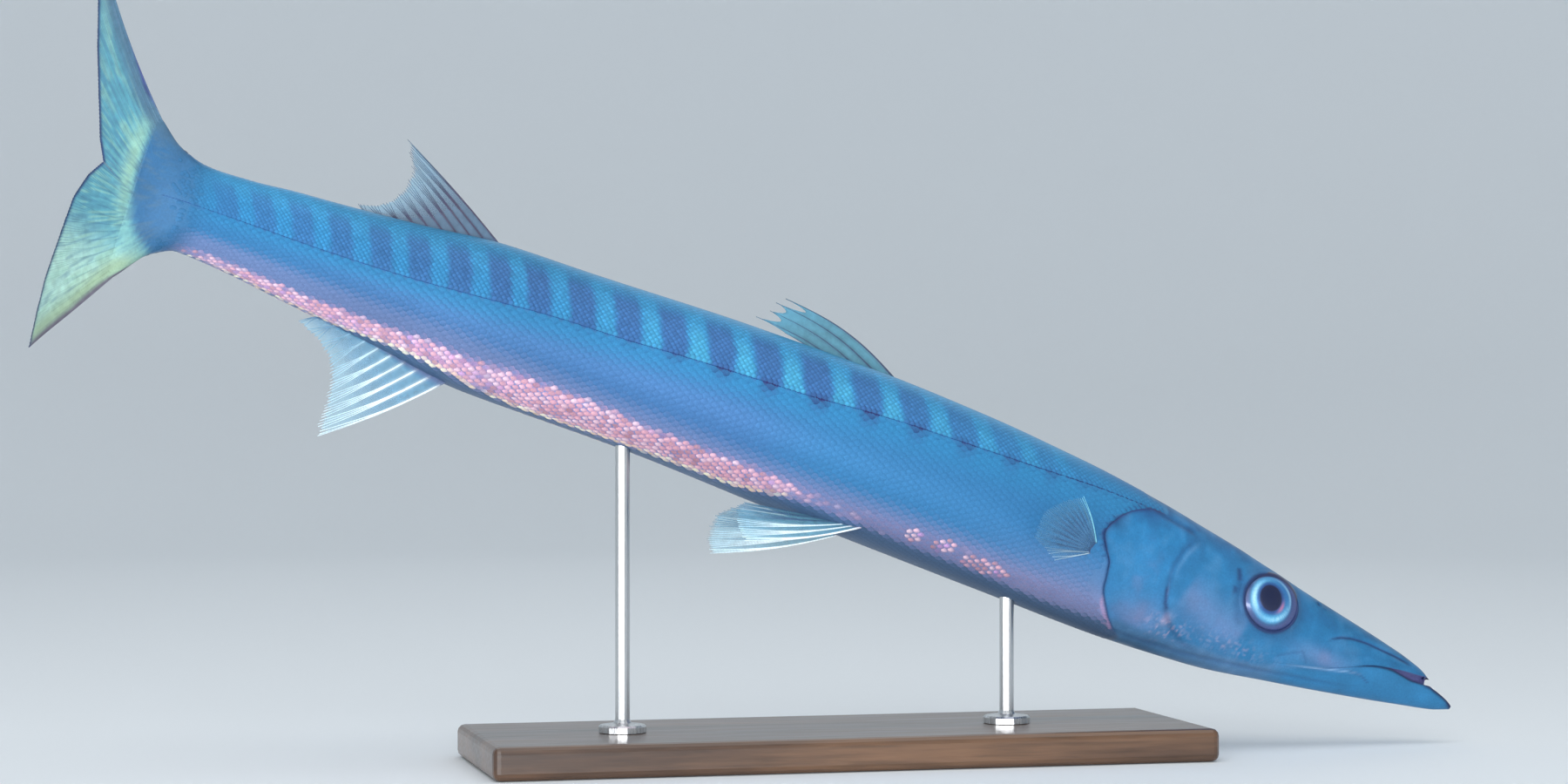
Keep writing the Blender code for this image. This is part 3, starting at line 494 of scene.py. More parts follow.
def headTone(tone, station, height, angle):
    # The head's own regions over the flank's colours, inside the gill cover's edge. Places and
    # widths are in millimetres.
    x, y = station / mm, height / mm
    top, floor, lips = (line(station) / mm for line in (back, belly, mouth))
    reach = gillReach(station, height) / mm
    inside = np.where(np.degrees(angle) > 62, fall(x, 200, 226), ease(reach, -0.4, 0.6))[..., None]
    share = (y - floor) / (top - floor)

    def spot(middleX, middleY, wide, high):
        return bell(np.hypot((x - middleX) / wide, (y - middleY) / high), 1)

    def near(line, width, fade=0.15):
        return lineBell(line, width, fade, station, height)

    cloud = mottle(station, height, 9.0, 2) * 0.6 + mottle(station, height, 3.5, 3) * 0.4
    fleck = ease(mottle(station, height, 1.3, 4), 0.55, 0.90) * (0.4 + 0.6 * cloud)
    gap, side, _ = lineField(head["throat"], station, height)
    under = fall(side * gap, -1.5 * mm, 1.5 * mm)
    # The cheek's free edge: a soft dark band before it, painted shadow of the fold, and a thin paler rim
    # along it, a painted highlight.
    gap, side, along = lineField(head["cheekEdge"], station, height)
    ends, behind = window(along, 0, 0.12, 0.6, 1), gap / mm * np.where(side < 0, 1, -1)
    # The dark ring round the orbit is broadest at its lower rear.
    eyeAway = eyeGap(station, height) / mm
    lower = 0.5 + 0.5 * np.cos(np.arctan2(y - head["eye"][1], x - head["eye"][0]) + 0.7)
    orbit = 15.7 + 0.6 * lower
    nostrils = [ovalGap(station, height, *hole[:2], head["nostrilStretch"]) / (hole[2] * mm)
                for hole in head["nostrils"]]
    skin = layTones(plainTone(paint["cover"], np.shape(station)), paint, (
        ("cheek", fall(x, 186, 200)),
        ("snout", fall(x, 95, 130)),
        ("napeTone", 0.9 * ease(share, 0.72, 0.95) * ease(x, 100, 160)),
        ("blush", 0.42 * near("cheekBand", 10.0, 0.1) * (0.5 + 0.8 * cloud)),
        ("blush", (0.45 * spot(90, -2, 17, 5) + 0.6 * spot(206, -18, 16, 9)) * (0.4 + cloud)),
        ("blush", 0.25 * spot(216, 4, 12, 16) * ease(cloud, 0.35, 0.8)),
        # The throat, painted shade of the pale underside.
        ("throat", under * window(x, 96, 110, 215, 228)),
        ("fleck", fleck * (0.70 * spot(190, -18, 11, 4.5) + 0.30 * spot(150, -14, 26, 4))),
        ("fleck", 0.40 * spot(191, -14, 2.6, 3.2) * (0.5 + cloud)),
        ("crease", 0.34 * ease(cloud, 0.40, 0.80) * (0.6 * ease(share, 0.45, 0.9) + 0.25)),
        ("white", 0.07 * ease(1 - cloud, 0.45, 0.85)),
        ("jaw", fall(y - lips, -3, 0) * fall(x, 100, 130)),
        ("blotch", 0.75 * spot(219, 41, 8, 6) * ease(reach, 0, 2)),
        ("crease", 0.55 * spot(237, 28, 6, 7) * (0.3 + cloud)),
        ("crease", 0.30 * fall(reach, 1, 6) * ease(y, -2, 15)),
        ("crease", 0.42 * bell(behind - 0.8, 1.7) * ends),
        ("crease", 0.10 * bell(behind + 7, 4) * ends),
        ("white", 0.13 * bell(behind + 2.4, 1.3) * ends * fall(along, 0.2, 0.5)),
        # Painted shade along the head's grooves.
        *(("crease", depth * near(line, width)) for line, width, depth in headLines),
        # A painted highlight along the lower edge of the upper jaw's plate.
        ("white", 0.60 * near("jawPlateEdge", 0.45, 0.3)),
        # Painted shade in the nostrils' pits.
        *(("crease", 0.55 * fall(nostril, 0.6, 1.5)) for nostril in nostrils),
        ("crease", 0.25 * bell(eyeAway - 18, 3.5)),
        ("orbit", 0.95 * bell(eyeAway - orbit, 0.40 + 0.75 * lower)),
        ("orbit", 0.95 * fall(eyeAway, orbit - 1.5, orbit - 0.5))))
    gap, _, along = lineField(head["gillEdge"], station, height)
    thin = ease(along, 0.45, 0.7)
    # Between the lips the upper one shows its mauve inner side over a thin dark line, painted
    # shade in the mouth's slit, and the top of the lower jaw's tip is edged in dark violet. The
    # snout's top is violet-grey, and both tips are darkest.
    gape = mouthOpen(station) / mm
    rim = y - lips + 0.5 * gape
    # A painted shadow line along the gill cover's free edge.
    gillEdgeShade = 0.8 * bell(gap / mm, 1.2 - 0.5 * thin) * window(along, 0, 0.05, 0.9, 1)
    return layTones(tone * (1 - inside) + skin * inside, paint, (
        ("gillLine", gillEdgeShade * (1 - 0.35 * thin)),
        ("lip", 0.9 * window(rim, -0.1, 0.2, gape - 0.1, gape + 0.3) * window(x, 16.5, 17.5, 44, 52)),
        ("lipLine", 0.9 * bell(rim, 0.45 + 0.25 * fall(x, 30, 45)) * fall(x, 58, 72)),
        ("lipLine", 0.85 * bell(np.minimum(rim + 0.8, 0), 1.1) * fall(x, 17, 24) * (rim < 1.0)),
        ("lip", 0.55 * bell(top - y, 1.1) * window(x, 16, 22, 70, 110)),
        ("lipLine", 0.6 * spot(18.0, 10.6, 2.2, 1.6)),
        ("lipLine", 0.85 * spot(1.0, 0.6, 3.0, 2.0))))


def meshFrom(name, points, faces, attributes=()):
    # A mesh from whole arrays: faces is a list of arrays of corners, each array of one width.
    mesh = bpy.data.meshes.new(name)
    points = np.ascontiguousarray(points, np.float32).reshape(-1, 3)
    corners = np.concatenate([part.ravel() for part in faces]).astype(np.int32)
    widths = np.concatenate([np.full(len(part), part.shape[1]) for part in faces])
    starts = np.concatenate([[0], np.cumsum(widths)[:-1]]).astype(np.int32)
    mesh.vertices.add(len(points))
    mesh.vertices.foreach_set("co", points.ravel())
    mesh.loops.add(len(corners))
    mesh.loops.foreach_set("vertex_index", corners)
    mesh.polygons.add(len(starts))
    mesh.polygons.foreach_set("loop_start", starts)
    mesh.update(calc_edges=True)
    mesh.validate()
    mesh.shade_smooth()
    for key, values in dict(attributes).items():
        if values.shape[-1:] == (3,) and values.ndim > 1:
            layer = mesh.attributes.new(key, "FLOAT_COLOR", "POINT")
            full = np.ones((len(points), 4), np.float32)
            full[:, :3] = values.reshape(-1, 3)
            layer.data.foreach_set("color", full.ravel())
        else:
            layer = mesh.attributes.new(key, "FLOAT", "POINT")
            layer.data.foreach_set("value", values.astype(np.float32).ravel())
    return mesh


def gridFaces(rows, columns, closed, first=0, flip=False):
    # Four-sided faces over a grid of points, closed round each row or not.
    r = np.arange(rows - 1)[:, None]
    c = np.arange(columns if closed else columns - 1)[None, :]
    d = (c + 1) % columns
    corners = [r * columns + c, (r + 1) * columns + c, (r + 1) * columns + d, r * columns + d]
    faces = np.stack(np.broadcast_arrays(*corners), axis=-1).reshape(-1, 4) + first
    return faces[:, ::-1] if flip else faces


def fanFaces(ring, centre, flip=False):
    # Triangles from a ring of points to one point in its middle.
    nextOne = np.roll(ring, -1)
    faces = np.stack([ring, nextOne, np.full(len(ring), centre)], axis=-1)
    return faces[:, ::-1] if flip else faces


def closedGrid(grid, ends, flip, flipEnds):
    # A grid of points closed round each row, with a fan to a point at each end: points and faces.
    rows, columns = grid.shape[:2]
    count, ring = rows * columns, np.arange(columns)
    faces = [gridFaces(rows, columns, True, 0, flip), fanFaces(ring, count, flipEnds),
             fanFaces(ring + count - columns, count + 1, not flipEnds)]
    return np.concatenate([grid.reshape(-1, 3), ends]), faces


def addObject(name, data):
    made = bpy.data.objects.new(name, data)
    bpy.context.scene.collection.objects.link(made)
    return made


def addPiece(name, mesh, look, replaced=()):
    mesh.materials.append(look)
    piece = addObject(name, mesh)
    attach(piece, "root")
    if replaced:
        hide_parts(*replaced)
    return piece


def newLook(name):
    made = bpy.data.materials.new(name)
    made.use_nodes = True
    return made, made.node_tree


def wire(tree, node, inputs):
    # Each input takes a socket to be linked from, or a plain value.
    for key, value in dict(inputs).items():
        if isinstance(value, bpy.types.NodeSocket):
            tree.links.new(value, node.inputs[key])
        else:
            node.inputs[key].default_value = value


def addNode(tree, kind, inputs=(), **settings):
    node = tree.nodes.new("ShaderNode" + kind)
    for key, value in settings.items():
        setattr(node, key, value)
    wire(tree, node, inputs)
    return node


def objectNoise(tree, scale, detail=4.0, roughness=0.55, stretch=None):
    # Noise in the model's own metres, scale being how many spots there are to a metre.
    source = addNode(tree, "TexCoord").outputs["Object"]
    if stretch:
        source = addNode(tree, "Mapping", {"Vector": source, "Scale": stretch}).outputs["Vector"]
    settings = {"Vector": source, "Scale": scale, "Detail": detail, "Roughness": roughness}
    return addNode(tree, "TexNoise", settings).outputs["Fac"]


def mapRange(tree, source, toLow, toHigh, low=0.3, high=0.7):
    # Most of a noise lies between 0.3 and 0.7, which become toLow and toHigh.
    settings = {"Value": source, "From Min": low, "From Max": high, "To Min": toLow, "To Max": toHigh}
    return addNode(tree, "MapRange", settings).outputs["Result"]


def multiply(tree, first, second):
    # One colour times another. The mix node's colours are its inputs 6 and 7, its output 2.
    settings = {0: 1.0, 6: first, 7: second}
    return addNode(tree, "Mix", settings, data_type="RGBA", blend_type="MULTIPLY").outputs[2]


def readAttribute(tree, name, output="Color"):
    return addNode(tree, "Attribute", attribute_name=name).outputs[output]


def finishLook(made, height, strength, distance, inputs):
    # A bump from a height, and the shader's other inputs.
    tree = made.node_tree
    bump = addNode(tree, "Bump", {"Height": height, "Strength": strength, "Distance": distance})
    wire(tree, tree.nodes["Principled BSDF"], {"Normal": bump.outputs["Normal"], **inputs})
    return made


skinFinish = {"mottleScale": 60, "grainScale": 900, "grainBump": 0.00012, "patchScale": 140,
              "roughness": 0.42, "roughnessChange": 0.08, "metallic": 0.15, "coat": 0.14,
              "coatRoughness": 0.28, "specular": 0.35}
scaleFinish = {"grainScale": 1400, "grainBump": 0.00005, "roughness": 0.42, "metallic": 0.25,
               "flashRoughness": 0.24, "specular": 0.22}


def skinLook():
    # The markings from the mesh, mottled by broad noise and grained by fine noise.
    made, tree = newLook("flankSkin")
    broad = objectNoise(tree, skinFinish["mottleScale"])
    fine = objectNoise(tree, skinFinish["grainScale"], 2.0)
    patchy = objectNoise(tree, skinFinish["patchScale"], 3.0)
    rough, change = skinFinish["roughness"], skinFinish["roughnessChange"]
    shade = multiply(tree, readAttribute(tree, "tone"), mapRange(tree, broad, 0.86, 1.12))
    return finishLook(made, fine, 0.6, skinFinish["grainBump"], {
        "Base Color": multiply(tree, shade, mapRange(tree, fine, 0.92, 1.08)),
        "Roughness": mapRange(tree, patchy, rough - change, rough + change),
        "Metallic": skinFinish["metallic"], "Specular IOR Level": skinFinish["specular"],
        "Coat Weight": skinFinish["coat"], "Coat Roughness": skinFinish["coatRoughness"]})


def scaleLook():
    # Each scale has its tone and its own flash, the share of its painted glint, which makes it glossier.
    made, tree = newLook("silverScales")
    fine = objectNoise(tree, scaleFinish["grainScale"], 2.0)
    flash = readAttribute(tree, "flash", "Fac")
    return finishLook(made, fine, 0.4, scaleFinish["grainBump"], {
        "Base Color": multiply(tree, readAttribute(tree, "tone"), mapRange(tree, fine, 0.88, 1.12)),
        "Roughness": mapRange(tree, flash, scaleFinish["roughness"], scaleFinish["flashRoughness"], 0, 1),
        "Metallic": scaleFinish["metallic"], "Specular IOR Level": scaleFinish["specular"]})


# The skin's grid: rows along the fish, and columns round it on each side of the mouth's line.
skinGrid = {
    "lowColumns": 22, "slitColumns": 6, "highColumns": 58,
    "jawRows": 26, "jawEnd": 17.6,
    "headStart": 23.4, "headStep": 0.8, "headEnd": 246, "trunkStep": 2.5, "trunkEnd": 805,
    # Behind the mouth the line between low and high columns settles at a fixed angle.
    "settle": (122, 210), "seamAngle": -36, "seamWidth": 3,
    "lipTop": 0.5, "roofRise": 0.4, "slitHalf": 0.3, "noseReach": 0.6, "narrow": (804.5, 809.0),
    # How the rows fold round the tip of the upper jaw: station below the mouth's line,
    # station above it, and what lies above it: 0 the lower jaw's top, 1 snout, 2 roof.
    "fold": ((18.4, 18.4, 0), (19.3, 19.3, 0), (20.3, 20.3, 0), (21.3, 21.3, 0), (21.9, 21.9, 0),
             (22.0, 22.1, 2), (22.1, 20.6, 2), (22.2, 19.2, 2), (22.3, 18.1, 2), (22.4, 17.4, 1),
             (22.5, 17.6, 1), (22.6, 18.1, 1), (22.7, 18.8, 1), (22.8, 19.6, 1), (22.9, 20.5, 1),
             (23.0, 21.5, 1), (23.1, 22.5, 1)),
    "endRows": (806, 807.6, 809.2),
}


def skinRows():
    # Stations of every row, below and above the mouth's line, and what lies above it.
    jaw = skinGrid["jawEnd"] * np.linspace(0, 1, skinGrid["jawRows"]) ** 1.4
    later = np.concatenate([np.arange(skinGrid["headStart"], skinGrid["headEnd"], skinGrid["headStep"]),
                            np.arange(skinGrid["headEnd"], skinGrid["trunkEnd"], skinGrid["trunkStep"]),
                            skinGrid["endRows"]])
    return np.concatenate([np.stack([jaw, jaw, 0 * jaw], axis=-1), np.array(skinGrid["fold"]),
                           np.stack([later, later, 0 * later + 1], axis=-1)])


def skinSide():
    # One side of the skin as (station, height, side, angle) for rows and columns from the
    # belly's middle, up over the lips of the mouth, to the back's middle.
    lowStation, highStation, state = np.hsplit(skinRows(), 3)
    lowStation, highStation = lowStation * mm, highStation * mm
    lowT, slitT, highT = (np.linspace(0, 1, skinGrid[key] + 1)[None, :]
                          for key in ("lowColumns", "slitColumns", "highColumns"))
    slitT = slitT[:, 1:-1]
    quarter = math.pi / 2

    def seam(station, rise):
        # The angle at the mouth's line, easing to a fixed one behind the head.
        own = angleAt(station, mouth(station) + rise * mouthOpen(station))
        settle = ease(station / mm, *skinGrid["settle"])
        fixed = math.radians(skinGrid["seamAngle"] + skinGrid["seamWidth"] * rise)
        return own * (1 - settle) + fixed * settle

    def surface(station, angle):
        return section(station, angle, relief(station, section(station, angle)[0]))

    def across(low, high):
        return low + (high - low) * slitT

    lowAngle = -quarter + (seam(lowStation, -0.5) + quarter) * lowT
    lowHeight, lowSide = surface(lowStation, lowAngle)
    start = seam(highStation, 0.5)
    highAngle = start + (quarter - start) * highT
    highHeight, highSide = surface(highStation, highAngle)
    # The lower jaw's top and the roof over it run level from the lip to the middle.
    lipHeight, lipSide = section(highStation, seam(highStation, -0.5))
    roofHeight, roofSide = section(highStation, start)
    lipTop = skinGrid["lipTop"] * mm
    topHeight = lipHeight - lipTop * np.sin(highT * quarter) * ease(highStation, 0, 0.012)
    topSide = (lipSide - lipTop * ease(highStation, 0, 0.006)) * (1 - highT)
    roofHeight = roofHeight + skinGrid["roofRise"] * mm * highT
    levels = [state == 0, state == 2]
    highHeight = np.select(levels, [topHeight, roofHeight], highHeight)
    highSide = np.select(levels, [topSide, roofSide * (1 - highT)], highSide)
    # Between the lips the skin turns inwards in a round groove.
    apart = np.abs(highStation - lowStation) > 0.3 * mm
    slitStation = lowStation + (highStation - lowStation) * np.where(apart, slitT**3, slitT)
    inward = np.where(state == 1, mouthDeep(slitStation), 0) * (1 - np.abs(2 * slitT - 1) ** 3)
    lipRise = highHeight[:, :1] - lowHeight[:, -1:]
    slitHeight = lowHeight[:, -1:] + lipRise * np.where(apart, slitT ** (1 / 3), slitT)
    slitSide = np.maximum(across(lowSide[:, -1:], highSide[:, :1]) - inward, skinGrid["slitHalf"] * mm)
    slitAngle = across(lowAngle[:, -1:], highAngle[:, :1])
    columns = ((lowStation + 0 * lowT, slitStation, highStation + 0 * highT),
               (lowHeight, slitHeight, highHeight), (lowSide, slitSide, highSide),
               (lowAngle, slitAngle, highAngle))
    return [np.concatenate(parts, axis=1) for parts in columns]


def makeSkin(look):
    station, height, side, angle = skinSide()
    tone = toneAt(station, height, angle)
    side = side * (1 - 0.9 * ease(station / mm, *skinGrid["narrow"]))
    # The right side mirrors the left, and both share the middle lines.
    ring = lambda left, right: np.concatenate([left, right[:, -2:0:-1]], axis=1)
    points = world(ring(station, station), ring(height, height), ring(side, -side))
    front = points[0].mean(axis=0) + turn @ np.array([skinGrid["noseReach"] * mm, 0, 0])
    tones = ring(tone, tone).reshape(-1, 3)
    tones = np.concatenate([tones, tones[:1], tones[-1:]])
    points, faces = closedGrid(points, [front, points[-1].mean(axis=0)], False, False)
    print("skin", len(points), "points")
    return addPiece("barracudaSkin", meshFrom("barracudaSkin", points, faces, {"tone": tones}), look,
                    ("head", "lower_jaw", "gill_cover_left", "gill_cover_right",
                                   "trunk_front", "trunk_middle", "trunk_rear", "tail_stem"))


# The gill cover's free edge, in millimetres: a flap that lies on the skin and lifts towards its rim.
gillFlap = {"reach": 16.0, "lift": 1.3, "sink": 0.30, "thickness": 0.9, "rows": 96, "columns": 20}


def sheetData(outer, inner, flip=False):
    # Two grids of points as one thin closed sheet: its points, and its faces joined round the rim.
    rows, columns = outer.shape[:2]
    count = rows * columns
    at = np.arange(count).reshape(rows, columns)
    rim = np.concatenate([at[0], at[1:, -1], at[-1, -2::-1], at[-2:0:-1, 0]])
    after = np.roll(rim, -1)
    corners = [rim, after, after + count, rim + count]
    if flip:
        corners = [rim, rim + count, after + count, after]
    faces = [gridFaces(rows, columns, False, 0, not flip), gridFaces(rows, columns, False, count, flip),
             np.stack(corners, axis=-1)]
    return np.concatenate([outer.reshape(-1, 3), inner.reshape(-1, 3)]), faces


def makeGillFlaps(look):
    # Rows follow the edge, columns run from the root to the rim; the height over the skin
    # is a power of the way across, below the skin at the root.
    line = np.array(head["gillEdge"], float) * mm
    reach = np.concatenate([[0], np.cumsum(np.hypot(*np.diff(line, axis=0).T))])
    t = np.linspace(0, reach[-1], gillFlap["rows"])
    edge = np.stack([np.interp(t, reach, line[:, k]) for k in (0, 1)], axis=-1)
    # The edge is smoothed by a weighted mean of nine of its points.
    kernel = np.hanning(9) / np.hanning(9).sum()
    padded = np.pad(edge, ((4, 4), (0, 0)), mode="reflect", reflect_type="odd")
    edge = np.stack([np.convolve(padded[:, k], kernel, "valid") for k in (0, 1)], axis=-1)
    ends = window(t / t[-1], 0, 0.16, 0.84, 1)[:, None]
    w = np.linspace(0, 1, gillFlap["columns"])[None, :]
    station = edge[:, :1] - gillFlap["reach"] * mm * (1 - w)
    height = edge[:, 1:] + 0 * w
    rise = (-gillFlap["sink"] + (gillFlap["lift"] + gillFlap["sink"]) * w**1.6) * mm
    rise = rise * ends - 0.25 * mm * (1 - ends)
    thick = gillFlap["thickness"] * mm * (0.35 + 0.65 * (1 - w**4))
    tone = toneAt(station - 0.6 * mm, height, angleAt(station, height))
    # The flap's free edge is darkened by painted shade under it.
    rim = bell((1 - w) * gillFlap["reach"], 1.0) * (0.20 + 0.35 * ends)
    tones = np.concatenate([layTones(tone, paint, (("gillLine", rim),)).reshape(-1, 3)] * 2)
    for name, side in (("gillFlapLeft", 1), ("gillFlapRight", -1)):
        outer, inner = (skinPoint(station, height, up, side) for up in (rise, rise - thick))
        mesh = meshFrom(name, *sheetData(outer, inner, side < 0), {"tone": tones})
        addPiece(name, mesh, look)


# The eye, in millimetres from its middle: x forwards, y up. Colours are out of 255.
eye = {
    "side": 17.6, "radius": 18.2, "bulge": 8.4, "turn": 5.0, "tilt": 21.0,
    "pupil": (-2.4, 2.3), "pupilHalf": (7.0, 7.6), "lensRise": 0.35, "irisSink": 0.30,
    "disc": (-1.3, 1.5), "discHalf": (13.0, 13.3),
    "roughness": 0.30, "metallic": 0.25, "coat": 0.35, "coatRoughness": 0.03, "fleckScale": 1600,
    "black": (16, 26, 62), "halo": (36, 74, 136), "iris": (42, 104, 162), "bright": (178, 226, 246),
    "cyan": (86, 184, 224), "ring": (44, 70, 122), "grey": (66, 80, 130), "edge": (30, 40, 82),
    # pupilGlint is a painted glint on the pupil's rim.
    "pupilGlint": (190, 124, 160),
}


def eyeTone(x, y):
    # Ovals that lean back like the photo's: the pupil, then the disc of the iris, brightest
    # at its upper rear, then a grey ring out to the dark edge.
    tilt = math.radians(eye["tilt"])

    def oval(middle, half):
        dx, dy = x - middle[0], y - middle[1]
        u, v = dx * math.cos(tilt) + dy * math.sin(tilt), dy * math.cos(tilt) - dx * math.sin(tilt)
        return np.hypot(u / half[0], v / half[1]), np.arctan2(v, u)

    def toward(angle, degrees, spread):
        return bell(np.angle(np.exp(1j * (angle - math.radians(degrees)))), math.radians(spread))

    pupil, around = oval(eye["pupil"], eye["pupilHalf"])
    disc, swing = oval(eye["disc"], eye["discHalf"])
    streak = 0.5 + 0.5 * np.sin(swing * 37 + 3 * np.sin(swing * 7))
    rearOrLow = np.maximum(toward(swing, 150, 66), toward(swing, -92, 60))
    return layTones(plainTone(eye["grey"], np.shape(x)), eye, (
        ("ring", 0.75 * bell(disc - 1.06, 0.045)),
        ("iris", fall(disc, 0.96, 1.02)),
        ("cyan", 0.85 * bell(disc - 0.82, 0.17) * rearOrLow),
        ("bright", 0.95 * bell(disc - 0.84, 0.10) * toward(swing, 168, 46)),
        ("bright", 0.70 * bell(disc - 0.84, 0.09) * toward(swing, -75, 42) * (0.4 + 0.6 * streak)),
        ("bright", 0.45 * bell(disc - 0.93, 0.05) * toward(swing, 15, 50)),
        ("halo", 0.9 * fall(pupil, 1.06, 1.34)),
        # A small painted glint, reddish, on the rim of the pupil.
        ("pupilGlint", 0.85 * toward(around, -42, 22) * bell(pupil - 1.20, 0.14)),
        ("black", fall(pupil, 0.93, 1.04)),
        ("edge", ease(np.hypot(x / head["eyeStretch"], y), 14.5, 15.4))))


def eyeLook():
    # The eye's tones from the mesh, flecked by noise, under a clear coat.
    made, tree = newLook("eyeGlass")
    fleck = mapRange(tree, objectNoise(tree, eye["fleckScale"], 3.0), 0.85, 1.15)
    wire(tree, tree.nodes["Principled BSDF"], {
        "Base Color": multiply(tree, readAttribute(tree, "tone"), fleck), "Roughness": eye["roughness"],
        "Metallic": eye["metallic"], "Coat Weight": eye["coat"], "Coat Roughness": eye["coatRoughness"]})
    return made


def makeEyes(look):
    # Each eyeball is an ellipsoid by angle from its front pole and angle round it, with the
    # lens raised in the pupil and the iris sunk a little round it.
    polar = np.concatenate([np.linspace(0.02, 0.52, 60), np.linspace(0.54, 0.98, 16)])[:, None] * math.pi
    around = np.linspace(0, math.tau, 96, endpoint=False)[None, :]
    x = -eye["radius"] * head["eyeStretch"] * np.sin(polar) * np.cos(around)
    y = eye["radius"] * np.sin(polar) * np.sin(around)
    z = eye["bulge"] * np.cos(polar) + 0 * around
    ring = np.hypot(*((value - middle) / half for value, middle, half in
                      zip((x, y), eye["pupil"], eye["pupilHalf"])))
    lens = eye["lensRise"] * np.maximum(1 - ring**2, 0) - eye["irisSink"] * bell(ring - 1.35, 0.3)
    z = z + np.where(z > 0, lens, 0)
    tone = eyeTone(x, y).reshape(-1, 3)
    tones = np.concatenate([tone, tone[:1], tone[-1:]])
    # x points forwards, z out of the head and turned a little to the front.
    turned = math.radians(eye["turn"])
    forward = x * math.cos(turned) + z * math.sin(turned)
    outward = z * math.cos(turned) - x * math.sin(turned)
    station, height = (head["eye"][0] - forward) * mm, (head["eye"][1] + y) * mm
    for name, node, side in (("eyeLeft", "eye_left", 1), ("eyeRight", "eye_right", -1)):
        points = world(station, height, side * (eye["side"] + outward) * mm)
        poles = [points[0].mean(axis=0), points[-1].mean(axis=0)]
        points, faces = closedGrid(points, poles, side > 0, side > 0)
        addPiece(name, meshFrom(name, points, faces, {"tone": tones}), look, (node,))


# The ring of skin that holds the eye: how far from the eye's middle and how high over the skin.
eyeRim = {"profile": ((14.7, -2.2), (14.9, -0.6), (15.3, 0.25), (15.9, 0.60), (16.7, 0.52), (17.6, 0.26),
                      (18.8, 0.02), (20.2, -0.35), (17.4, -1.6)), "segments": 120}


def makeEyeRims(look):
    # A closed profile carried round the eye, at heights over the head's own surface.
    away, rise = np.array(eyeRim["profile"])[None].transpose(2, 0, 1)
    around = np.linspace(0, math.tau, eyeRim["segments"], endpoint=False)[:, None]
    station = (head["eye"][0] - head["eyeStretch"] * away * np.cos(around)) * mm
    height = (head["eye"][1] + away * np.sin(around)) * mm
    gap = away + 0 * around
    plain = np.where(gap < head["eyeRadius"], headRelief["brow"][0] * mm, relief(station, height))
    lower = 0.5 + 0.5 * np.cos(np.pi - around + 0.7)
    dark = fall(gap, 15.3 + 0.6 * lower, 16.3 + 1.3 * lower)
    tone = layTones(toneAt(station, height, angleAt(station, height)), paint, (("orbit", dark),))
    rows, columns = gap.shape
    for name, side in (("eyeRimLeft", 1), ("eyeRimRight", -1)):
        faces = gridFaces(rows + 1, columns, True, 0, side < 0) % (rows * columns)
        mesh = meshFrom(name, skinPoint(station, height, plain + rise * mm, side), [faces], {"tone": tone})
        addPiece(name, mesh, look)


scales = {
    "first": 0.210, "last": 0.792, "napeEnd": 0.219, "napeAngle": 58, "thinFrom": 0.774, "thinOver": 0.018,
    # The rows are staggered, and closer above the lateral line than below it.
    # Pitch and gap are in millimetres, stagger is a share of the gap, long and wide are how
    # far each plate reaches over its neighbours.
    "coats": (dict(way=-1, stagger=0.5, long=1.95, wide=1.24,
                   pitch=((210, 3.2), (560, 3.3), (700, 2.9), (806, 2.2)),
                   gap=((210, 3.5), (460, 3.7), (620, 3.4), (700, 2.9), (806, 2.2))),
              dict(way=1, stagger=0.5, long=2.5, wide=1.18,
                   pitch=((210, 1.60), (560, 1.60), (700, 1.45), (806, 1.2)),
                   gap=((210, 3.4), (460, 3.5), (620, 3.3), (700, 2.8), (806, 2.3)))),
    "lift": 0.025, "liftMore": 0.035, "sink": 0.10, "dome": 0.016, "dot": (0.22, 0.13),
    "corners": 10, "pieces": 4, "seed": 4, "patch": 0.003,
    # The lateral line: stations it runs between, size of a scale in millimetres, share of its
    # length to the next, how much broader one is at a bar, and how far it lifts.
    "lineEnds": (0.224, 0.796), "lineSize": (3.6, 1.0), "lineStep": 0.42, "lineMore": 1.5, "lineLift": 0.50,
}


def scaleRoots():
    # Stations step along by the pitch; on each, arc lengths up or down from the lateral line
    # step by the gap, shifted by the stagger on every other station, and become angles.
    dense = np.radians(np.linspace(-90, 90, 721))[None, :]
    found = []
    for coat in scales["coats"]:
        pitch, gap = straightLine(coat["pitch"]), straightLine(coat["gap"])
        stations = [scales["first"]]
        while stations[-1] < scales["last"]:
            stations.append(stations[-1] + float(pitch(stations[-1])) * mm)
        stations = np.array(stations)
        height, side = section(stations[:, None], dense)
        arc = np.cumsum(np.hypot(np.diff(height, axis=1), np.diff(side, axis=1)), axis=1)
        arc = np.concatenate([np.zeros((len(stations), 1)), arc], axis=1)
        for row, station in enumerate(stations):
            start = np.interp(float(lateral(station)), height[row], arc[row])
            steps = np.arange(60) + 0.5 + coat["stagger"] * (row % 2)
            offsets = start + coat["way"] * steps * float(gap(station)) * mm
            angle = np.interp(offsets[(offsets > 0) & (offsets < arc[row, -1])], arc[row], dense[0])
            sizes = coat["long"] * float(pitch(station)) * mm, coat["wide"] * float(gap(station)) * mm
            found.append(np.stack([value + 0 * angle for value in (station, angle, *sizes)]))
    return np.concatenate(found, axis=1)


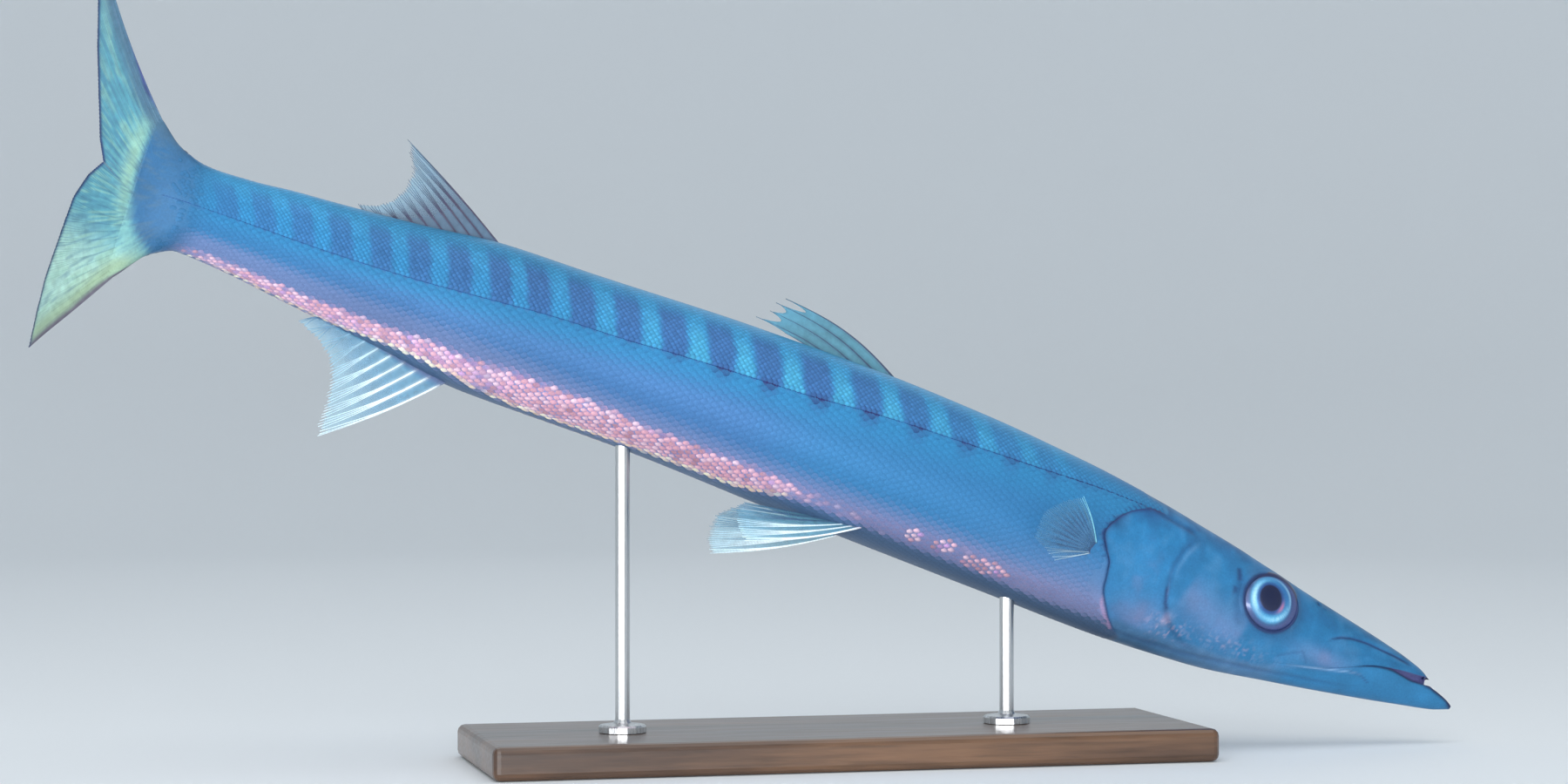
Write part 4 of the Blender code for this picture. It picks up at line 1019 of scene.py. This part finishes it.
def scaleShapes(station, angle, side, length, width, lift, sway):
    # Each scale is a rounded plate, egg-shaped, that slopes from its sunk root up to its free
    # edge: a ring of corners, a smaller ring raised in what shows of it round one point, and a
    # point below it. Also gives where each of its points lies on the skin.
    def surface(station, angle):
        up, out = section(station, angle)
        return world(station, up, side * out)

    middle = surface(station, angle)
    along = surface(station + 0.5 * mm, angle) - surface(station - 0.5 * mm, angle)
    across = surface(station, angle + 0.01) - surface(station, angle - 0.01)
    radius = np.linalg.norm(across, axis=1) / 0.02
    normal = np.cross(across, along) * side[:, None]
    along, normal = (v / np.linalg.norm(v, axis=1)[:, None] for v in (along, normal))
    across = np.cross(normal, along)
    corners = scales["corners"]
    spin = (np.arange(corners) + 0.5) * math.tau / corners
    dotPlace, dotSize = scales["dot"]
    localX = np.concatenate([0.5 * np.cos(spin), dotPlace + dotSize * np.cos(spin), [dotPlace, 0.0]])
    localY = 0.5 * signedPower(np.sin(spin), 0.85) * (1 + 0.22 * np.cos(spin))
    localY = np.concatenate([localY, 1.3 * dotSize * np.sin(spin), [0.0, 0.0]])
    x = localX[None, :] * length[:, None]
    y = localY[None, :] * width[:, None] + sway[:, None] * x
    rise = (localX[None, :] + 0.5) * (lift[:, None] + scales["sink"] * mm) - scales["sink"] * mm
    rise[:, corners:-2] += 0.8 * scales["dome"] * width[:, None]
    rise[:, -2] += scales["dome"] * width
    rise[:, -1] -= 0.25 * mm
    points = middle[:, None] + x[..., None] * along[:, None] + y[..., None] * across[:, None]
    points = points + rise[..., None] * normal[:, None]
    ring = np.arange(corners)
    after, top = np.roll(ring, -1), np.full(corners, 2 * corners)
    template = np.concatenate([np.stack(faces, axis=-1) for faces in (
        (ring, after, after + corners), (ring, after + corners, ring + corners),
        (ring + corners, after + corners, top), (after, ring, top + 1))])
    turned = np.clip(angle[:, None] + side[:, None] * y / radius[:, None], -math.pi / 2, math.pi / 2)
    return points, template, station[:, None] + x, turned, localX, localY


def addCoat(name, look, shapes, side, order, tones, flashes, unwrap):
    # One joined mesh of plates with its colours, sharp rims and a small patch of UV for each.
    points, template, _, _, localX, localY = shapes
    each = points.shape[1]
    faces = np.repeat(template[None], len(order), axis=0)
    faces[side[order] < 0] = faces[side[order] < 0][:, :, ::-1]
    faces = (faces + (np.arange(len(order)) * each)[:, None, None]).reshape(-1, 3)
    mesh = meshFrom(name, points[order].reshape(-1, 3), [faces],
                    {"tone": tones[order].reshape(-1, 3), "flash": flashes[order].ravel()})
    ends = np.zeros(2 * len(mesh.edges), np.int32)
    mesh.edges.foreach_get("vertices", ends)
    rims = (ends.reshape(-1, 2) % each < scales["corners"]).all(axis=1)
    mesh.edges.foreach_set("use_edge_sharp", rims)
    corner = np.stack([localX, localY], axis=-1) * scales["patch"]
    uv = unwrap[order][:, None, :] * 0.98 + 0.01 + corner[None]
    at = np.zeros(len(mesh.loops), np.int32)
    mesh.loops.foreach_get("vertex_index", at)
    layer = mesh.uv_layers.new(name="OFBake")
    layer.data.foreach_set("uv", uv.reshape(-1, 2)[at].astype(np.float32).ravel())
    addPiece(name, mesh, look)
    print(name, len(order), "scales", len(faces), "triangles")


def skinUnwrap(station, angle, side):
    # The skin laid flat: along the fish, and round it from the belly's middle on each side.
    around = (side * (angle / math.pi + 0.5) + 1) / 2
    return np.stack([station / (1.02 * body["length"]), around], axis=-1)


def makeScales(look):
    rng = np.random.default_rng(scales["seed"])
    station, angle, length, width = np.tile(scaleRoots(), 2)
    side = np.repeat([1.0, -1.0], len(station) // 2)
    height = section(station, angle)[0]
    # The smooth skin of the nape and behind the gill cover has no scales.
    smooth = (-2.5 - 7 * bell(height + 0.010, 0.012)) * mm
    nape = np.degrees(angle) > scales["napeAngle"]
    bare = np.where(nape, station < scales["napeEnd"], gillReach(station, height) > smooth)
    # They thin out over the root of the tail.
    bare |= station > scales["thinFrom"] + scales["thinOver"] * rng.uniform(0, 1, len(station))
    station, angle, length, width, side, height = (
        values[~bare] for values in (station, angle, length, width, side, height))
    count = len(station)
    above = (height > lateral(station)) * 1.0
    glint = glintShare(station, angle)
    spark = glint
    # Scales in the clusters carry painted glints too.
    for x, y, reach, high in paint["clusters"]:
        apart = np.hypot((station - x * mm) / (reach * mm), (height - y * mm) / (high * mm))
        spark = np.maximum(spark, fall(apart, 0.8, 1.2))
    lively = np.clip(0.8 * above + spark, 0, 1) * (1 - 0.8 * ease(station, 0.73, 0.79))
    lively = lively * (0.3 + 0.7 * ease(station, 0.225, 0.300))
    length = length * rng.uniform(0.96, 1.04, count) * (0.6 + 0.4 * ease(station, 0.215, 0.240))
    width = width * rng.uniform(0.96, 1.04, count)
    lift = length * (scales["lift"] + scales["liftMore"] * lively) * rng.uniform(0.8, 1.25, count)
    sway = rng.uniform(-0.03, 0.03, count) * (1 + lively)
    shapes = scaleShapes(station, angle, side, length, width, lift, sway)
    _, _, spotStation, spotAngle, localX, _ = shapes
    tone = toneAt(spotStation, section(spotStation, spotAngle)[0], spotAngle)
    tone = 0.65 * tone + 0.35 * toneAt(station, height, angle)[:, None, :]
    # Each scale is darker round its rim, painted shade between the plates, and its middle is a
    # bright dot, a painted highlight: faint on the flank, pale on the back, pink to gold in the band
    # of glints, painted reflections, each by its own draw.
    draw, second = rng.uniform(0, 1, (2, count))
    flash = ease(spark, 0.10 + 0.55 * second, 0.40 + 0.58 * second)
    golden = fall(np.degrees(angle) - paintLine["glintLow"](station), 3, 9) * ease(station, 0.400, 0.430)
    warm = layTones(plainTone(paint["pink"], (count,)), paint, (
        ("gold", golden),
        ("violetDot", 0.5 * ease(second, 0.72, 0.85) * (1 - golden) * fall(glint, 0.75, 1.0))))
    dot = np.minimum(warm * (0.45 + 0.95 * draw**0.7)[:, None], 1)
    ground = dot * (0.30 + 0.45 * golden)[:, None] + linear(paint["ground"]) * 0.75
    ground = ground * 0.75 + linear(paint["ground"]) * 0.25
    middle = (np.arange(len(localX)) >= scales["corners"])[None, :, None]
    dotHighlight = 1 + (0.07 + 0.42 * above * (0.4 + draw) * lively)
    rimShade = 1 - 0.07 - 0.11 * lively * above
    share = np.where(middle, flash[:, None, None], 0.85 * glint[:, None, None])
    tone = tone * np.where(middle, dotHighlight[:, None, None], rimShade[:, None, None]) * (1 - share)
    tone = tone + np.where(middle, dot[:, None, :], ground[:, None, :]) * share
    tone = tone * (1 + (rng.uniform(-0.05, 0.05, count) * (0.3 + lively)))[:, None, None]
    flashes = np.repeat(flash[:, None], len(localX), axis=1)
    unwrap = skinUnwrap(station, angle, side)
    order = np.argsort(station, kind="stable")
    for number, part in enumerate(np.array_split(order, scales["pieces"])):
        addCoat("scales%d" % (number + 1), look, shapes, side, part, tone, flashes, unwrap)


def makeLateralLine(look):
    # One narrow pored scale over the other, broader and darker where a bar stands on the line.
    rng = np.random.default_rng(scales["seed"] + 1)
    long, wide = (size * mm for size in scales["lineSize"])
    station = np.tile(np.arange(*scales["lineEnds"], scales["lineStep"] * long), 2)
    count = len(station)
    side = np.repeat([1.0, -1.0], count // 2)
    angle = angleAt(station, lateral(station) + 0.15 * mm)
    foot = ease(barWave(station), 0.15, 0.85) * paintLine["patchDepth"](station + 0.02)
    foot = np.maximum(foot, 0.5 * fall(station, 0.26, 0.34))
    width = wide * (1 + scales["lineMore"] * foot) * (1 - 0.4 * ease(station, 0.6, 0.8))
    shapes = scaleShapes(station, angle, side, np.full(count, long), width,
                         np.full(count, scales["lineLift"] * mm), rng.uniform(-0.02, 0.02, count))
    tone = layTones(plainTone(paint["line"], (count,)), paint, (("lineFoot", foot),))
    tone = np.repeat((tone * rng.uniform(0.85, 1.15, count)[:, None])[:, None], len(shapes[4]), axis=1)
    addCoat("lateralLine", look, shapes, side, np.arange(count), tone,
            np.zeros(tone.shape[:2]), skinUnwrap(station, angle, side))


# Fins: roots and tips as (share across the fin, station, height, side), as in the solids.
# bow bends the first and last ray, rag is how deep the web is cut between the twigs, cover
# is how dense the web is at its root and at its free edge, and sheath is the skin at its root.
# A ray's colours change with the share across the fin.
fins = {
    "dorsalFinFront": dict(
        node="dorsal_fin_front", slot="dorsal_fin", rays=5, twigs=1, bow=(-6.0, -1.0), rag=0.13,
        roots=((0, 368, 64.5, 0), (1, 414, 63.5, 0)),
        tips=((0, 447, 88.6, 0), (0.25, 451, 84.5, 0), (0.5, 454, 79, 0), (0.75, 459, 73, 0),
              (1, 441, 70.2, 0)),
        ray=((0, (44, 62, 92)), (1, (64, 92, 118))), web=(78, 132, 150), rim=(84, 152, 178),
        sheath=(72, 118, 150), sheathReach=0.10, cover=(0.94, 0.75), radius=0.52),
    "dorsalFinRear": dict(
        node="dorsal_fin_rear", slot="dorsal_fin", rays=10, twigs=4, bow=(-1.5, 1.0), rag=0.07,
        roots=((0, 602, 55.5, 0), (1, 674, 43.5, 0)),
        tips=((0, 674, 92.4, 0), (0.12, 671, 86.5, 0), (0.3, 666, 78, 0), (0.5, 667, 67, 0),
              (0.7, 671, 58.5, 0), (0.85, 678, 52.5, 0), (1, 688, 49, 0)),
        ray=((0, (56, 50, 76)), (1, (60, 60, 86))), web=(82, 108, 132), rim=(84, 156, 188),
        sheath=(70, 96, 130), sheathReach=0.14, cover=(0.80, 0.22), radius=0.36),
    "analFin": dict(
        node="anal_fin", slot="paired_fin", rays=10, twigs=4, bow=(2.0, -1.0), rag=0.07,
        roots=((0, 609, -20.0, 0), (1, 683, -13.5, 0)),
        tips=((0, 669, -75.3, 0), (0.12, 670, -69, 0), (0.3, 670, -58, 0), (0.5, 671, -45, 0),
              (0.7, 676, -34, 0), (0.85, 685, -27, 0), (1, 698, -22, 0)),
        ray=((0, (236, 248, 250)), (0.45, (210, 234, 242)), (0.7, (130, 172, 194)), (1, (84, 120, 152))),
        web=(92, 152, 184), rim=(130, 196, 222), sheath=(84, 100, 136), sheathReach=0.15,
        cover=(0.55, 0.18), radius=0.40),
    "caudalFinUpper": dict(
        node="caudal_fin_upper", slot="tail_fin", rays=17, twigs=4, bow=(4.0, 0), rag=0.012,
        roots=((0, 801, 40.5, 0), (1, 804.5, 1.4, 0)),
        tips=((0, 870, 120.3, 0), (0.12, 866, 104, 0), (0.28, 859, 85, 0), (0.48, 853, 62.6, 0),
              (0.68, 845, 40.5, 0), (0.86, 837, 20, 0), (1, 831, 10.4, 0)),
        cover=(1.0, 1.0), radius=0.33),
    "caudalFinLower": dict(
        node="caudal_fin_lower", slot="tail_fin", rays=17, twigs=4, bow=(0, 2.5), rag=0.012,
        roots=((0, 804.5, 0.9, 0), (1, 800.5, -36.0, 0)),
        tips=((0, 831, 9.9, 0), (0.12, 838, 0, 0), (0.28, 844, -14.6, 0), (0.48, 847, -37.8, 0),
              (0.68, 850, -60.6, 0), (0.84, 850, -79, 0), (1, 849, -97, 0)),
        cover=(1.0, 1.0), radius=0.33),
    "pelvicFin": dict(
        node="pelvic_fin", slot="paired_fin", rays=6, twigs=5, bow=(2.5, 0), rag=0.06,
        roots=((0, 369, -20, 16.6), (1, 385, -21, 7.8)),
        tips=((0, 437, -54, 34), (0.3, 443, -48, 30), (0.7, 444, -36, 21), (1, 438, -30, 13)),
        ray=((0, (236, 246, 248)), (0.42, (216, 236, 242)), (0.55, (70, 102, 132)), (1, (64, 96, 128))),
        web=(110, 168, 190), rim=(130, 196, 222), sheath=(176, 148, 166), sheathReach=0.10,
        cover=(0.55, 0.25), radius=0.46),
    "pectoralFin": dict(
        node="pectoral_fin", slot="paired_fin", rays=13, twigs=3, bow=(-1.5, 0), rag=0.05,
        roots=((0, 245.5, 9.8, 36.0), (1, 247.5, 4.6, 36.0)),
        tips=((0, 274, 23.5, 75), (0.25, 284, 18, 76), (0.55, 294, 8, 75), (0.8, 294, -6, 71),
              (1, 277, -13, 66)),
        ray=((0, (150, 226, 242)), (0.10, (66, 104, 144)), (0.85, (70, 106, 146)), (1, (206, 226, 234))),
        web=(96, 150, 192), rim=(120, 182, 212), sheath=(72, 76, 118), sheathReach=0.08,
        cover=(0.42, 0.08), radius=0.32),
}
finSheet = {"root": 0.32, "edge": 0.10, "rows": 34, "segments": 26, "sides": 6, "fork": 0.22}


def finSpot(fin, across, along, side):
    # A point of the fin by its share across it and along its rays: straight from root to
    # tip plus a bow, a half sine along the ray, square to it in the fin's plane.
    def read(points, share):
        table = np.array(points, float)
        return np.stack([np.interp(share, table[:, 0], table[:, k] * mm) for k in (1, 2, 3)], axis=-1)

    root, tip = read(fin["roots"], across), read(fin["tips"], across)
    chord = tip - root
    bend = (fin["bow"][0] + (fin["bow"][1] - fin["bow"][0]) * across)[..., None] * mm
    square = np.stack([chord[..., 1], -chord[..., 0], 0 * chord[..., 0]], axis=-1)
    square /= np.linalg.norm(square, axis=-1)[..., None]
    spot = root + chord * along[..., None] + square * bend * np.sin(along[..., None] * math.pi)
    return spot * np.array([1, 1, side])


def finPoint(fin, across, along, side):
    return world(*np.moveaxis(finSpot(fin, across, along, side), -1, 0))


def finNormal(fin, across, along, side):
    step = 1e-3
    a = finPoint(fin, across, along + step, side) - finPoint(fin, across, along - step, side)
    low, high = np.clip(across - step, 0, 1), np.clip(across + step, 0, 1)
    b = finPoint(fin, high, along, side) - finPoint(fin, low, along, side)
    normal = np.cross(a, b)
    return normal / np.linalg.norm(normal, axis=-1)[..., None]


# The caudal fin's colours: lines in millimetres from the side, and what lies along them.
tail = {
    "flesh": ((796, 56), (804, 46), (809, 37), (810, 28), (810, 12), (808, 0), (805.5, -9.5), (801, -17),
              (795, -21), (786, -24)),
    "upperEdge": ((782, 32.6), (796, 39.3), (819, 55.7), (847, 90.7), (870, 120.3)),
    "lowerEdge": ((776, -15), (788, -22.6), (804, -41), (823, -68), (849, -97)),
    "rear": ((870, 120.3), (866, 104), (859, 85), (853, 62.6), (845, 40.5), (837, 20), (831, 10.2),
             (838, 0), (844, -14.6), (847, -37.8), (850, -60.6), (850, -79), (849, -97)),
    "fanRoot": (780, 4),
    "flat": (86, 152, 168), "glow": (148, 192, 172), "pale": (178, 216, 200), "dusk": (48, 98, 140),
    "lead": (72, 104, 130), "outline": (54, 58, 118), "brown": (88, 70, 98), "straw": (152, 176, 138),
    "edge": (42, 66, 112), "streak": (66, 112, 142),
}


def tailTone(station, height, isRay):
    # Blue flesh at the root, a pale glow just behind it, a grey-blue field that turns pale
    # below, a dark band down the front of the upper lobe, and dark edges.
    x, y = station / mm, height / mm
    gap, side, _ = lineField(tail["flesh"], station, height)
    past = gap / mm * np.where(side > 0, -1, 1)
    upGap, lowGap, rearGap = (lineField(tail[key], station, height)[0] / mm
                              for key in ("upperEdge", "lowerEdge", "rear"))
    aft, up = x - tail["fanRoot"][0], y - tail["fanRoot"][1]
    fan, far = np.arctan2(up, aft), np.hypot(up, aft)

    def fanNoise(slow, sway, bend, spread, seed):
        # Streaks fan out from the root: an angle round it and a slow way along make their noise.
        return mottle((slow * far + sway * np.sin(far / bend)) * mm, spread * fan, 1.0, seed)

    streaky = fanNoise(0.10, 0.3, 3, 0.045, 12)
    # Fine ripples run along the rays' roots, over the flesh and a little past it.
    ripple = ease(fanNoise(0.12, 0.4, 2.5, 0.035, 8), 0.42, 0.80)
    glow = (0.35 + 0.65 * bell(y - 18, 22)) * fall(y, 45, 75)
    rayDepth = 0.25 + 0.70 * bell(rearGap, 11) * ease(y, -60, -30)
    return layTones(plainTone(tail["flat"], np.shape(station)), tail, (
        ("pale", 0.9 * fall(y, -50, -12)),
        ("glow", 0.95 * bell(past - 4.5, 5) * glow),
        ("glow", 0.55 * bell(rearGap - 6, 4) * ease(y, 60, 90)),
        ("glow", 0.50 * ease(streaky, 0.50, 0.90) * ease(past, 0, 8)),
        ("streak", 0.42 * ease(1 - streaky, 0.50, 0.90) * ease(past, 0, 8)),
        ("streak", isRay * rayDepth * ease(past, 2, 10)),
        ("dusk", fall(past, -2.5, 2.0)),
        ("lead", 0.70 * ripple * bell(past + 5, 10)),
        ("lead", 0.9 * fall(upGap, 4, 13) * ease(y, 26, 42)),
        ("straw", 0.75 * bell(lowGap - 3.8, 5.5) * ease(-y, 22, 34)),
        ("brown", 0.9 * bell(lowGap, 0.7 + 1.5 * ease(-y, 34, 56)) * ease(x, 776, 786)),
        ("outline", 0.9 * bell(upGap, 1.1) * ease(y, 40, 60)),
        ("edge", fall(rearGap, 1.0, 2.4))))


def finTone(fin, spot, across, along, isRay):
    # The rays' colour changes across the fin. Rays and web turn to the rim's colour at the
    # free edge, and skin covers both at the root.
    if fin["slot"] == "tail_fin":
        return tailTone(spot[..., 0], spot[..., 1], isRay)
    colors = linear([color for stop, color in fin["ray"]])
    ray = np.stack([np.interp(across, [stop for stop, color in fin["ray"]], colors[:, k])
                    for k in range(3)], axis=-1)
    # The web darkens or pales towards each ray.
    share = np.maximum(isRay, 0.40 * ease(np.cos(math.tau * across * (fin["rays"] - 1)), -0.2, 1.0))
    web = linear(fin["web"])
    return layTones(web + (ray - web) * share[..., None], fin, (
        ("rim", ease(along, 0.45, 1.0) * (1 - 0.75 * isRay)),
        ("sheath", fall(along, 0.4 * fin["sheathReach"], fin["sheathReach"]))))


def finPieces(fin, side, seed):
    # The web as a thin closed sheet, and each ray as a bundle of twigs that lie together
    # at the root and spread towards the tip, each a tapered tube.
    rng = np.random.default_rng(seed)
    rays, twigs, rag = fin["rays"], fin["twigs"], fin["rag"]
    cells = rays - 1
    across = np.linspace(0, 1, cells * max(2 * twigs, 6) + 1)[None, :]
    # The web stops short of the twigs' tips, in a notch between each two of them.
    cut = across * cells * twigs + (0.5 if twigs > 1 else 0)
    deep = rng.uniform(0.5, 1.3, cells * twigs + 2)[np.clip(cut.astype(int), 0, cells * twigs + 1)]
    reach = 1 - 0.3 * rag - rag * np.abs(np.sin(cut * math.pi)) ** 0.8 * deep
    along = np.linspace(0, 1, finSheet["rows"])[:, None] * reach
    across = across + 0 * along
    spot = finSpot(fin, across, along, side)
    half = 0.5 * (finSheet["root"] + (finSheet["edge"] - finSheet["root"]) * along)[..., None] * mm
    push = finNormal(fin, across, along, side) * half
    middle = world(*np.moveaxis(spot, -1, 0))
    points, faces = sheetData(middle + push, middle - push, True)
    tone = finTone(fin, spot, across, along, 0 * along).reshape(-1, 3)
    cover = fin["cover"][0] + (fin["cover"][1] - fin["cover"][0]) * ease(along, 0.15, 1.0)
    skin = fin.get("sheathReach", 0.01)
    cover = np.maximum(cover, fall(along, 0.6 * skin, 1.2 * skin)).ravel()
    # Twigs of every ray at once: rays x twigs x segments x sides.
    segments, sides = finSheet["segments"], finSheet["sides"]
    t = np.linspace(0, 1, segments)[None, None, :]
    home = np.linspace(0, 1, rays)[:, None, None]
    part = ((np.arange(twigs) + 0.5) / twigs - 0.5)[None, :, None]
    fork = 0.10 + 0.90 * ease(t, finSheet["fork"], 1.25) / ease(1.0, finSheet["fork"], 1.25)
    acrossRay = np.clip(home + part / cells * fork, 0, 1)
    alongRay = t * rng.uniform(0.955, 1.0, (rays, twigs, 1)) + 0 * acrossRay
    raySpot = finSpot(fin, acrossRay, alongRay, side)
    centre = world(*np.moveaxis(raySpot, -1, 0))
    up = finNormal(fin, acrossRay, alongRay, side)
    run = np.gradient(centre, axis=2)
    out = np.cross(run / np.linalg.norm(run, axis=-1)[..., None], up)
    radius = fin["radius"] * mm * (1 - 0.68 * t**0.7) * (1 + 0.35 * bell(home * cells, 1))
    radius = (radius + 0 * acrossRay)[..., None, None]
    spin = (np.arange(sides) * math.tau / sides)[:, None]
    ring = np.cos(spin) * up[..., None, :] + np.sin(spin) * out[..., None, :]
    tubes = centre[..., None, :] + radius * ring
    each = segments * sides
    base = len(points) + (np.arange(rays * twigs) * each)[:, None, None]
    ends = np.arange(sides)[None, :], np.arange(each - sides, each)[None, ::-1]
    for part in (gridFaces(segments, sides, True), *ends):
        faces.append((part + base).reshape(-1, part.shape[-1]))
    rayTone = finTone(fin, raySpot, acrossRay, alongRay, np.ones_like(alongRay))
    rayTone = rayTone * rng.uniform(0.88, 1.12, (rays, twigs, 1, 1))
    rayTone = np.repeat(rayTone.reshape(-1, 3), sides, axis=0)
    return np.concatenate([points, tubes.reshape(-1, 3)]), faces, {
        "tone": np.concatenate([tone, tone, rayTone]),
        "joint": np.concatenate([np.zeros(len(points)), np.repeat(alongRay.ravel(), sides)]),
        "cover": np.concatenate([cover, cover, np.ones(len(rayTone))])}


finFinish = {"roughness": 0.45, "coat": 0.2, "coatRoughness": 0.25, "joints": 46, "jointShade": 0.07,
             "cloudScale": 260}


def finLook():
    # Web and rays from the mesh's colours, the web see-through by its own share.
    made, tree = newLook("finWeb")
    cloud = mapRange(tree, objectNoise(tree, finFinish["cloudScale"]), 0.86, 1.14)
    # Soft rays are jointed: short bands of light and dark along each one, none on the web.
    turns = {0: readAttribute(tree, "joint", "Fac"), 1: finFinish["joints"] * math.tau}
    count = addNode(tree, "Math", turns, operation="MULTIPLY")
    wave = addNode(tree, "Math", {0: count.outputs[0]}, operation="SINE").outputs[0]
    band = mapRange(tree, wave, 1 - finFinish["jointShade"], 1 + finFinish["jointShade"], -1, 1)
    return finishLook(made, wave, 0.2, 0.0001, {
        "Base Color": multiply(tree, multiply(tree, readAttribute(tree, "tone"), cloud), band),
        "Alpha": readAttribute(tree, "cover", "Fac"), "Roughness": finFinish["roughness"],
        "Coat Weight": finFinish["coat"], "Coat Roughness": finFinish["coatRoughness"]})


def makeFins(look):
    for number, (name, fin) in enumerate(fins.items()):
        paired = fin["node"] in ("pelvic_fin", "pectoral_fin")
        for label, side in ((("Left", 1), ("Right", -1)) if paired else (("", 1),)):
            mesh = meshFrom(name + label, *finPieces(fin, side, 10 + number))
            node = fin["node"] + ("_" + label.lower() if paired else "")
            addPiece(name + label, mesh, look, (node,))
        print("fin", name)


# The stand's wood and steel.
stand = {"woodDark": (0.052, 0.024, 0.012), "woodLight": (0.150, 0.075, 0.036), "grainScale": 26.0,
         "poreScale": 420, "coat": 0.5, "coatRoughness": 0.15, "steel": (0.62, 0.63, 0.64),
         "brushScale": 1500}


def woodLook():
    # Long grain: dark and light wood by noise stretched along the board, with fine pores.
    made, tree = newLook("standWood")
    long = objectNoise(tree, stand["grainScale"], 5.0, 0.6, (0.12, 1.0, 1.0))
    fine = objectNoise(tree, stand["poreScale"], 3.0, 0.6, (0.05, 1.0, 1.0))
    ramp = addNode(tree, "ValToRGB", {"Fac": long})
    for stop, at, key in zip(ramp.color_ramp.elements, (0.36, 0.66), ("woodDark", "woodLight")):
        stop.position, stop.color = at, (*stand[key], 1)
    pores = mapRange(tree, fine, 0.75, 1.1, 0.35, 0.6)
    return finishLook(made, fine, 0.35, 0.0002, {
        "Base Color": multiply(tree, ramp.outputs["Color"], pores),
        "Roughness": mapRange(tree, fine, 0.30, 0.42), "Coat Weight": stand["coat"],
        "Coat Roughness": stand["coatRoughness"]})


def steelLook():
    # Brushed along the rod: noise drawn out lengthways.
    made, tree = newLook("standSteel")
    brush = objectNoise(tree, stand["brushScale"], 2.0, 0.6, (1.0, 1.0, 0.02))
    return finishLook(made, brush, 0.15, 0.0001, {
        "Base Color": (*stand["steel"], 1), "Metallic": 1.0,
        "Roughness": mapRange(tree, brush, 0.22, 0.38)})


def dressStand():
    wood, steel = woodLook(), steelLook()
    for name, look in (("stand_base", wood), ("stand_rod_front", steel), ("stand_rod_rear", steel)):
        frame["nodes"][name].material_slots[0].material = look


# The studio: a pale round floor that curves up into a wall, soft lights and the camera.
studio = {"floorRadius": 2.4, "coveRadius": 2.2, "wallTop": 3.6, "segments": 96, "drop": 0.0002,
          "floor": (0.80, 0.84, 0.87), "world": (0.82, 0.87, 0.92), "worldPower": 0.50}


def makeStudio():
    arc = np.linspace(0, math.pi / 2, 14)
    start, cove, drop = studio["floorRadius"], studio["coveRadius"], studio["drop"]
    radius = np.concatenate([[0.4, 1.5], start + cove * np.sin(arc), [start + cove]])[:, None]
    rise = np.concatenate([[0, 0], cove * (1 - np.cos(arc)), [studio["wallTop"]]])[:, None]
    around = np.linspace(0, math.tau, studio["segments"], endpoint=False)[None, :]
    points = np.stack([radius * np.cos(around), radius * np.sin(around), rise + 0 * around - drop],
                      axis=-1)
    rows, columns = points.shape[:2]
    faces = [gridFaces(rows, columns, True), fanFaces(np.arange(columns), rows * columns)]
    mesh = meshFrom("studioFloor", np.concatenate([points.reshape(-1, 3), [[0, 0, -drop]]]), faces)
    made, tree = newLook("studioPaint")
    wire(tree, tree.nodes["Principled BSDF"], {"Base Color": (*studio["floor"], 1), "Roughness": 0.85})
    mesh.materials.append(made)
    floor = addObject("studioFloor", mesh)
    sky = bpy.context.scene.world or bpy.data.worlds.new("studioSky")
    bpy.context.scene.world = sky
    sky.use_nodes = True
    wire(sky.node_tree, sky.node_tree.nodes["Background"],
         {"Color": (*studio["world"], 1), "Strength": studio["worldPower"]})


lights = {
    # name: place, aim, size, power in watts, colour
    "softTop": ((-0.2, -0.6, 2.3), (0.0, 0.0, 0.2), (2.8, 1.8), 21, (1.0, 0.99, 0.97)),
    "softFront": ((-0.9, -2.5, 1.5), (0.0, 0.0, 0.2), (2.4, 1.4), 20, (0.97, 0.99, 1.0)),
    "softBack": ((0.6, 2.2, 1.7), (0.0, 0.0, 0.2), (2.4, 1.0), 5, (0.98, 0.99, 1.0)),
    "lowFill": ((-1.0, -2.2, 0.20), (0.0, 0.0, 0.20), (2.6, 0.36), 54, (0.98, 0.99, 1.0)),
}


def makeLights():
    for name, (spot, aim, size, power, color) in lights.items():
        data = bpy.data.lights.new(name, "AREA")
        data.shape, data.energy, data.color = "RECTANGLE", power, color
        data.size, data.size_y = size
        lamp = addObject(name, data)
        lamp.location = spot
        lamp.rotation_euler = (Vector(aim) - Vector(spot)).to_track_quat("-Z", "Y").to_euler()


# The camera stands level, 14 degrees behind square to the fish, as the photo was taken.
camera = {"fromSnout": (-0.8353, -1.768, 0.1816), "turn": 14.0, "lens": 76.45, "sensor": 36.0}


def makeCamera():
    data = bpy.data.cameras.new("camera")
    data.lens = camera["lens"]
    data.sensor_width = camera["sensor"]
    data.clip_start, data.clip_end = 0.05, 50
    eyePoint = addObject("camera", data)
    eyePoint.location = Vector(shift) + Vector(camera["fromSnout"])
    eyePoint.rotation_euler = (math.pi / 2, 0, -math.radians(camera["turn"]))
    bpy.context.scene.camera = eyePoint


bpy.context.scene.view_settings.view_transform = "Standard"
makeCamera()
makeStudio()
makeLights()
print("studio ready")
skin = skinLook()
makeSkin(skin)
makeGillFlaps(skin)
makeEyeRims(skin)
makeEyes(eyeLook())
print("head ready")
coat = scaleLook()
makeScales(coat)
makeLateralLine(coat)
makeFins(finLook())
dressStand()
